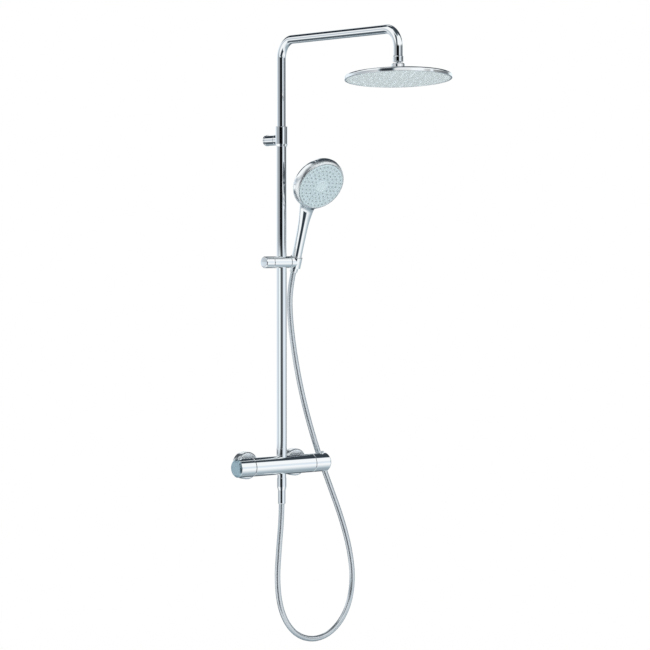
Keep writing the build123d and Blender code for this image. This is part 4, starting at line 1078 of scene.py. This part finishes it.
def smooth_table(value, at, level):
    """A smooth curve through a table of levels."""
    slope = np.gradient(level, at)
    i = np.clip(np.searchsorted(at, value) - 1, 0, len(at) - 2)
    span = at[i + 1] - at[i]
    t = (value - at[i]) / span
    a = 2.0 * t ** 3 - 3.0 * t ** 2 + 1.0
    b = t ** 3 - 2.0 * t ** 2 + t
    c = -2.0 * t ** 3 + 3.0 * t ** 2
    d = t ** 3 - t ** 2
    return a * level[i] + b * span * slope[i] + c * level[i + 1] + d * span * slope[i + 1]


def handle_section(s):
    """Half width, half depth and shift of the handle at distances up it."""
    return [smooth_table(s, handle_table[:, 0], handle_table[:, column]) for column in (1, 2, 3)]


def away_from_handle(points):
    """Signed distance, nearly, from points to the handle's flowing oval."""
    offset = points - np.array(HAND_AT)
    s = offset @ np.array(HAND_UP)
    width, depth, shift = handle_section(np.clip(s, HANDLE_LOW, HANDLE_HIGH))
    x = offset @ np.array(HAND_SIDE)
    y = offset @ np.array(HAND_DEEP) - shift
    near = np.sqrt((x / width) ** 2 + (y / depth) ** 2) + TINY
    steep = np.sqrt((x / width ** 2) ** 2 + (y / depth ** 2) ** 2) + TINY
    round_gap = near * (near - 1.0) / steep
    ends = np.maximum(HANDLE_LOW - s, s - HANDLE_HIGH)
    return np.maximum(round_gap, ends)


def away_from_shell(points):
    """Signed distance, nearly, to head and handle flowing into each other."""
    head = away_from_head(points)
    handle = away_from_handle(points)
    share = np.clip(0.5 + 0.5 * (handle - head) / BLEND_MM, 0.0, 1.0)
    return handle * (1.0 - share) + head * share - BLEND_MM * share * (1.0 - share)


def steepest(points):
    """The direction in which the distance to the shell grows, with its slope as length."""
    found = np.zeros_like(points)
    for k in range(3):
        shift = np.zeros(3)
        shift[k] = SLOPE_STEP
        change = away_from_shell(points + shift) - away_from_shell(points - shift)
        found[:, k] = change / (2.0 * SLOPE_STEP)
    return found


def rough_shell():
    """A closed mesh of the hand shower's head and handle, joined by small cubes and then relaxed."""
    rough = Shape().turned([(r, h, 0.2) for r, h in HEAD_KNOTS], FACE_AT, FACE_AXIS)
    rows = []
    for k in range(HANDLE_ROWS + 1):
        s = HANDLE_LOW + (HANDLE_HIGH - HANDLE_LOW) * k / HANDLE_ROWS
        width, depth, shift = (float(found[0]) for found in handle_section(np.array([s])))
        row = []
        for n in range(HANDLE_SIDES):
            angle = 2.0 * math.pi * n / HANDLE_SIDES
            spot = HAND_SIDE * (width * math.cos(angle)) + HAND_DEEP * (depth * math.sin(angle) + shift)
            row.append(HAND_AT + HAND_UP * s + spot)
        rows.append(row)
    handle = skin("rough_handle", [[point * MM for point in row] for row in rows])
    head_mesh = bpy.data.meshes.new("rough_head")
    head_mesh.from_pydata([tuple(point) for point in rough.points], [], rough.faces)
    made = bmesh.new()
    made.from_mesh(head_mesh)
    made.from_mesh(handle.data)
    joined = bpy.data.meshes.new("rough")
    made.to_mesh(joined)
    made.free()
    bpy.data.objects.remove(handle)
    bpy.data.meshes.remove(head_mesh)
    holder = add_object("rough", joined)
    remesh = holder.modifiers.new("remesh", "REMESH")
    remesh.mode = "VOXEL"
    remesh.voxel_size = VOXEL_MM * MM
    relax = holder.modifiers.new("relax", "SMOOTH")
    relax.factor = RELAX_FACTOR
    relax.iterations = RELAX_ROUNDS
    bpy.context.view_layer.update()
    shaped = holder.evaluated_get(bpy.context.evaluated_depsgraph_get())
    mesh = bpy.data.meshes.new_from_object(shaped)
    bpy.data.objects.remove(holder)
    return mesh


def hand_shell():
    """The hand shower's shell: the rough mesh with its points drawn onto the flowing form."""
    mesh = rough_shell()
    flat = np.empty(len(mesh.vertices) * 3)
    mesh.vertices.foreach_get("co", flat)
    points = flat.reshape(-1, 3) / MM
    for _ in range(DRAW_ROUNDS):
        slope = steepest(points)
        gap_now = away_from_shell(points)
        size = np.maximum((slope ** 2).sum(axis=1), SLOPE_LEAST)
        points = points - np.clip(gap_now / size, -DRAW_MOST, DRAW_MOST)[:, None] * slope
    slope = steepest(points)
    slope /= np.linalg.norm(slope, axis=1)[:, None]
    mesh.vertices.foreach_set("co", (points * MM).ravel())
    mesh.shade_smooth()
    mesh.update()
    mesh.normals_split_custom_set_from_vertices([tuple(direction) for direction in slope])
    mesh.name = "handset_shell_formed"
    piece = add_object("handset_shell_formed", mesh)
    mesh.materials.append(MATERIALS["shell_finish"])
    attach(piece, "handset")
    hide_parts("handset_shell")


hand_shell()
Shape().turned(
    tube_profile(9.0, 12.5, 14.3, 17.4, 0.7),
    HAND_AT,
    HAND_UP,
    closed=True,
).make("handset_collar_ring", "handset", "chromed_plastic")

# Spray face: plate with shallow ring grooves, soft nozzles and a dished hub
PLATE_R = 59.0
PLATE_TOP = 0.8
PLATE_LOW = -4.6
PLATE_GROOVES = (47.5, 37.0, 27.0)
plate_line = [
    (0.0, PLATE_LOW, 0.2),
    (PLATE_R - 0.4, PLATE_LOW, 0.3),
    (PLATE_R, PLATE_TOP - 0.5, 0.8),
    (PLATE_R - 1.6, PLATE_TOP, 0.8),
]
for groove in PLATE_GROOVES:
    plate_line += ring_groove(groove, PLATE_TOP, PLATE_TOP - GROOVE_DEPTH)
plate_line.append((0.0, PLATE_TOP, 0.2))
# The plate's spray_plate finish is the spray grey darkened: painted shade of this face
Shape().turned(plate_line, FACE_AT, FACE_AXIS, segments=160).make(
    "spray_plate_turned", "spray_face", "spray_grey", "spray_plate", finish="spray_plate"
)
# The hub is drawn in the plate's darkened grey, not in the chrome of its chromed_plastic slot: painted
# shade
Shape().turned(
    [
        (0.0, 0.2, 0.2),
        (16.0, 0.2, 0.2),
        (16.0, 1.5, 0.6),
        (14.6, 2.2, 0.8),
        (12.4, 2.2, 0.8),
        (10.6, 1.4, 0.8),
        (0.0, 1.1, 0.2),
    ],
    FACE_AT,
    FACE_AXIS,
).make("spray_hub_turned", "spray_face", "chromed_plastic", "spray_hub", finish="spray_hub")
SPRAY_NOZZLE = [
    (0.0, -1.0, 0.2),
    (2.0, -1.0, 0.2),
    (2.0, 0.9, 0.2),
    (1.7, 1.15, 0.3),
    (1.25, 2.5, 0.3),
    (0.65, 2.6, 0.15),
    (0.5, 1.5, 0.15),
    (0.0, 1.4, 0.1),
]
SPRAY_RINGS = [(22.0, 12), (32.0, 18), (42.0, 24), (53.0, 32)]
# Its nozzles are the silicone darkened with the painted shade of the face
shape = nozzle_field(FACE_AT, FACE_AXIS, SPRAY_RINGS, SPRAY_NOZZLE)
shape.make("spray_nozzles_moulded", "spray_face", "silicone", "spray_nozzles", finish="silicone_painted_shade")


# Studio: pale floor, white surroundings with soft dark gaps that the chrome mirrors, and large soft lamps
FLOOR_Z = -1.05
FLOOR_HALF = 30.0
FLOOR_GREY = color(0.9, 0.9, 0.9)
FLOOR_FADE = (1.4, 4.5, 0.97, 1.0)  # two distances, and the share of plain white at each
AMBIENT_STRENGTH = 0.6
MIRROR_STRENGTH = 1.05
WHITE = color(1.0, 1.0, 1.0)
DARK = color(0.010, 0.015, 0.025)
HALF_DARK = color(0.43, 0.51, 0.56)
COOL = (0.93, 1.0, 1.07)  # tint of the mirrored horizon
GAP_SIDE = 0.07  # how softly a gap's sides and ends fade
GAP_END = 0.05
GAP_FRONT = 0.15

world = bpy.data.worlds.new("studio")
scene.world = world
world.use_nodes = True
graph = Graph(world.node_tree)
direction = graph.add("ShaderNodeTexCoord").outputs["Generated"]
rays = graph.add("ShaderNodeLightPath")
height = graph.dot(direction, tuple(UP))


def level(value):
    """Brightness of a grey level from 0 to 255, by the sRGB curve."""
    share = value / 255.0
    if share < 0.04:
        return share / 12.92
    return ((share + 0.055) / 1.055) ** 2.4


def panorama(fraction, stops):
    """Surroundings along the horizon, as grey levels at angles to the right of the camera."""
    node = graph.add("ShaderNodeValToRGB")
    ramp = node.color_ramp
    ramp.elements.remove(ramp.elements[-1])
    for number, (turn_deg, value) in enumerate(stops):
        place = (turn_deg + 180.0) / 360.0
        stop = ramp.elements.new(place) if number else ramp.elements[0]
        stop.position = place
        bright = level(value)
        stop.color = color(*(min(bright * share, 1.0) for share in COOL))
    graph.link(fraction, node.inputs["Fac"])
    return node.outputs["Color"]


def gap(turn_deg, half_deg, low, high, depth):
    """Darkness of an upright gap at an angle to the right of the camera, between two heights."""
    t = math.radians(turn_deg)
    toward = RIGHT * math.sin(t) - LOOK * math.cos(t)
    across = Vector((-toward.y, toward.x, 0.0))
    width = math.sin(math.radians(half_deg))
    offset = graph.math("ABSOLUTE", graph.dot(direction, tuple(across)))
    inside = graph.fade(offset, width - GAP_SIDE, width + GAP_SIDE, 1.0, 0.0)
    front = graph.fade(graph.dot(direction, tuple(toward)), 0.0, GAP_FRONT)
    under = graph.fade(height, high - GAP_END, high + GAP_END, 1.0, 0.0)
    over = graph.fade(height, low - GAP_END, low + GAP_END)
    upright = graph.math("MULTIPLY", under, over)
    standing = graph.math("MULTIPLY", inside, front)
    return graph.math("MULTIPLY", standing, graph.math("MULTIPLY", upright, depth))


def zone(center, outer, inner, depth):
    """Darkness of a round patch of the surroundings."""
    toward = Vector(center).normalized()
    return graph.fade(graph.dot(direction, tuple(toward)), outer, inner, 0.0, depth)


def darkest(parts):
    """The darkest of several patches at each place."""
    total = parts[0]
    for part in parts[1:]:
        total = graph.math("MAXIMUM", total, part)
    return total


GAPS = [
    # angle to the right of the camera, half width, lowest and highest height, depth
    (-9.0, 25.0, -0.75, -0.10, 0.97),
    (-29.0, 16.0, 0.10, 0.78, 0.96),
]
ZONES = [
    # direction of the centre, cosines of the outer and inner edge, depth
    ((0.50, 0.00, 0.87), 0.883, 0.934, 0.965),
    ((-0.05, -0.25, 0.97), 0.90, 0.96, 0.94),
    ((0.88, 0.00, 0.47), 0.955, 0.98, 0.95),
    ((-0.05, 0.32, 0.93), 0.93, 0.97, 0.985),
    ((-0.10, 0.80, 0.59), 0.914, 0.956, 0.985),
    ((-0.24, 0.80, -0.55), 0.93, 0.97, 0.90),
    ((0.60, 0.40, -0.69), 0.20, 0.95, 0.62),
    ((0.74, 0.46, 0.49), 0.90, 0.95, 0.95),
    ((0.60, 0.62, -0.50), 0.93, 0.97, 0.93),
]
dark = darkest([gap(*row) for row in GAPS] + [zone(*row) for row in ZONES])
shade = graph.add("ShaderNodeValToRGB")
shade.color_ramp.elements[0].color = WHITE
shade.color_ramp.elements[1].color = DARK
middle = shade.color_ramp.elements.new(0.5)
middle.color = HALF_DARK
graph.link(dark, shade.inputs["Fac"])
around = shade.outputs["Color"]
sideways = graph.dot(direction, tuple(RIGHT))
backwards = graph.dot(direction, tuple(-LOOK))
around_turn = graph.math("DIVIDE", graph.math("ARCTAN2", sideways, backwards), 2.0 * math.pi)
turn_share = graph.math("ADD", around_turn, 0.5)
# Grey levels of the mirrored surroundings at angles to the right of the camera, in three bands of height
HIGH_HORIZON = [
    (-180, 252), (-125, 245), (-110, 205), (-85, 178), (-44, 160), (-37, 30), (-30, 6),
    (6, 6), (15, 50), (22, 150), (30, 248), (52, 250), (57, 105), (69, 84),
    (71, 235), (77, 235), (79, 80), (105, 105), (128, 130), (142, 252), (180, 252),
]
LOW_HORIZON = [
    (-180, 250), (-125, 236), (-100, 222), (-70, 205), (-58, 252), (-32, 254), (-24, 170),
    (-16, 95), (2, 78), (20, 82), (32, 190), (40, 240), (85, 242), (100, 208),
    (130, 165), (180, 160),
]
FOOT_HORIZON = [
    (-180, 240), (-140, 200), (-120, 172), (-95, 172), (-75, 205), (-55, 250), (-40, 160),
    (-32, 45), (-20, 30), (6, 35), (16, 120), (26, 235), (82, 245), (90, 190),
    (110, 150), (140, 170), (160, 240), (180, 240),
]
FOOT_TO_LOW = (-0.0915, -0.0875)  # heights between which one band turns into the next
LOW_TO_HIGH = (-0.012, -0.002)
BAND_FOOT = (-0.135, -0.122)  # and between which all three fade out, below and above
BAND_TOP = (0.12, 0.30)
high_part = panorama(turn_share, HIGH_HORIZON)
low_part = panorama(turn_share, LOW_HORIZON)
foot_part = panorama(turn_share, FOOT_HORIZON)
horizon = graph.mix_color(graph.fade(height, *FOOT_TO_LOW), foot_part, low_part)
horizon = graph.mix_color(graph.fade(height, *LOW_TO_HIGH), horizon, high_part)
over_foot = graph.fade(height, *BAND_FOOT)
under_top = graph.fade(height, *BAND_TOP, 1.0, 0.0)
level_band = graph.math("MULTIPLY", over_foot, under_top)
surround = graph.mix_color(level_band, around, horizon)
mirrored = graph.math("MAXIMUM", rays.outputs["Is Glossy Ray"], rays.outputs["Is Transmission Ray"])
ambient = graph.background(WHITE, AMBIENT_STRENGTH)
reflected = graph.background(surround, MIRROR_STRENGTH)
seen = graph.background(WHITE, 1.0)
unseen = graph.mix_shader(mirrored, ambient, reflected)
studio = graph.mix_shader(rays.outputs["Is Camera Ray"], unseen, seen)
world_output = graph.add("ShaderNodeOutputWorld")
graph.link(studio, world_output.inputs["Surface"])

floor_mesh = bpy.data.meshes.new("floor")
floor_corners = [(x * FLOOR_HALF, y * FLOOR_HALF, FLOOR_Z) for x, y in ((-1, -1), (1, -1), (1, 1), (-1, 1))]
floor_mesh.from_pydata(floor_corners, [], [(0, 1, 2, 3)])
floor = add_object("floor", floor_mesh)
floor_material = bpy.data.materials.new("floor")
floor_material.use_nodes = True
graph = Graph(floor_material.node_tree)
rays = graph.add("ShaderNodeLightPath")
diffuse = graph.add("ShaderNodeBsdfDiffuse")
diffuse.inputs["Color"].default_value = FLOOR_GREY
glow = graph.add("ShaderNodeEmission")
glow.inputs["Color"].default_value = WHITE
glow.inputs["Strength"].default_value = 1.0
reach = graph.add("ShaderNodeVectorMath", operation="LENGTH")
graph.link(graph.add("ShaderNodeTexCoord").outputs["Object"], reach.inputs[0])
far_glow = graph.fade(reach.outputs["Value"], *FLOOR_FADE)
share = graph.math("MULTIPLY", rays.outputs["Is Camera Ray"], far_glow)
floor_shader = graph.mix_shader(share, diffuse.outputs[0], glow.outputs[0])
floor_output = graph.add("ShaderNodeOutputMaterial")
graph.link(floor_shader, floor_output.inputs["Surface"])
floor.data.materials.append(floor_material)
floor.visible_glossy = False

LAMP_AIM = Vector((0.0, -0.2, 0.3))
LAMPS = [
    # name, place, size, power
    ("key", (-2.6, -3.2, 2.6), 2.4, 70.0),
    ("fill", (2.8, -2.4, 1.2), 2.2, 35.0),
    ("top", (0.2, -0.6, 3.4), 2.0, 30.0),
    ("low", (-0.9, -1.9, -0.75), 1.2, 14.0),
]
for name, place, size, power in LAMPS:
    lamp = bpy.data.lights.new(name, "AREA")
    lamp.shape = "SQUARE"
    lamp.size = size
    lamp.energy = power
    lamp_object = add_object(name, lamp)
    lamp_object.location = place
    lamp_object.rotation_mode = "QUATERNION"
    lamp_object.rotation_quaternion = (LAMP_AIM - Vector(place)).to_track_quat("-Z", "Y")
    lamp_object.visible_glossy = False
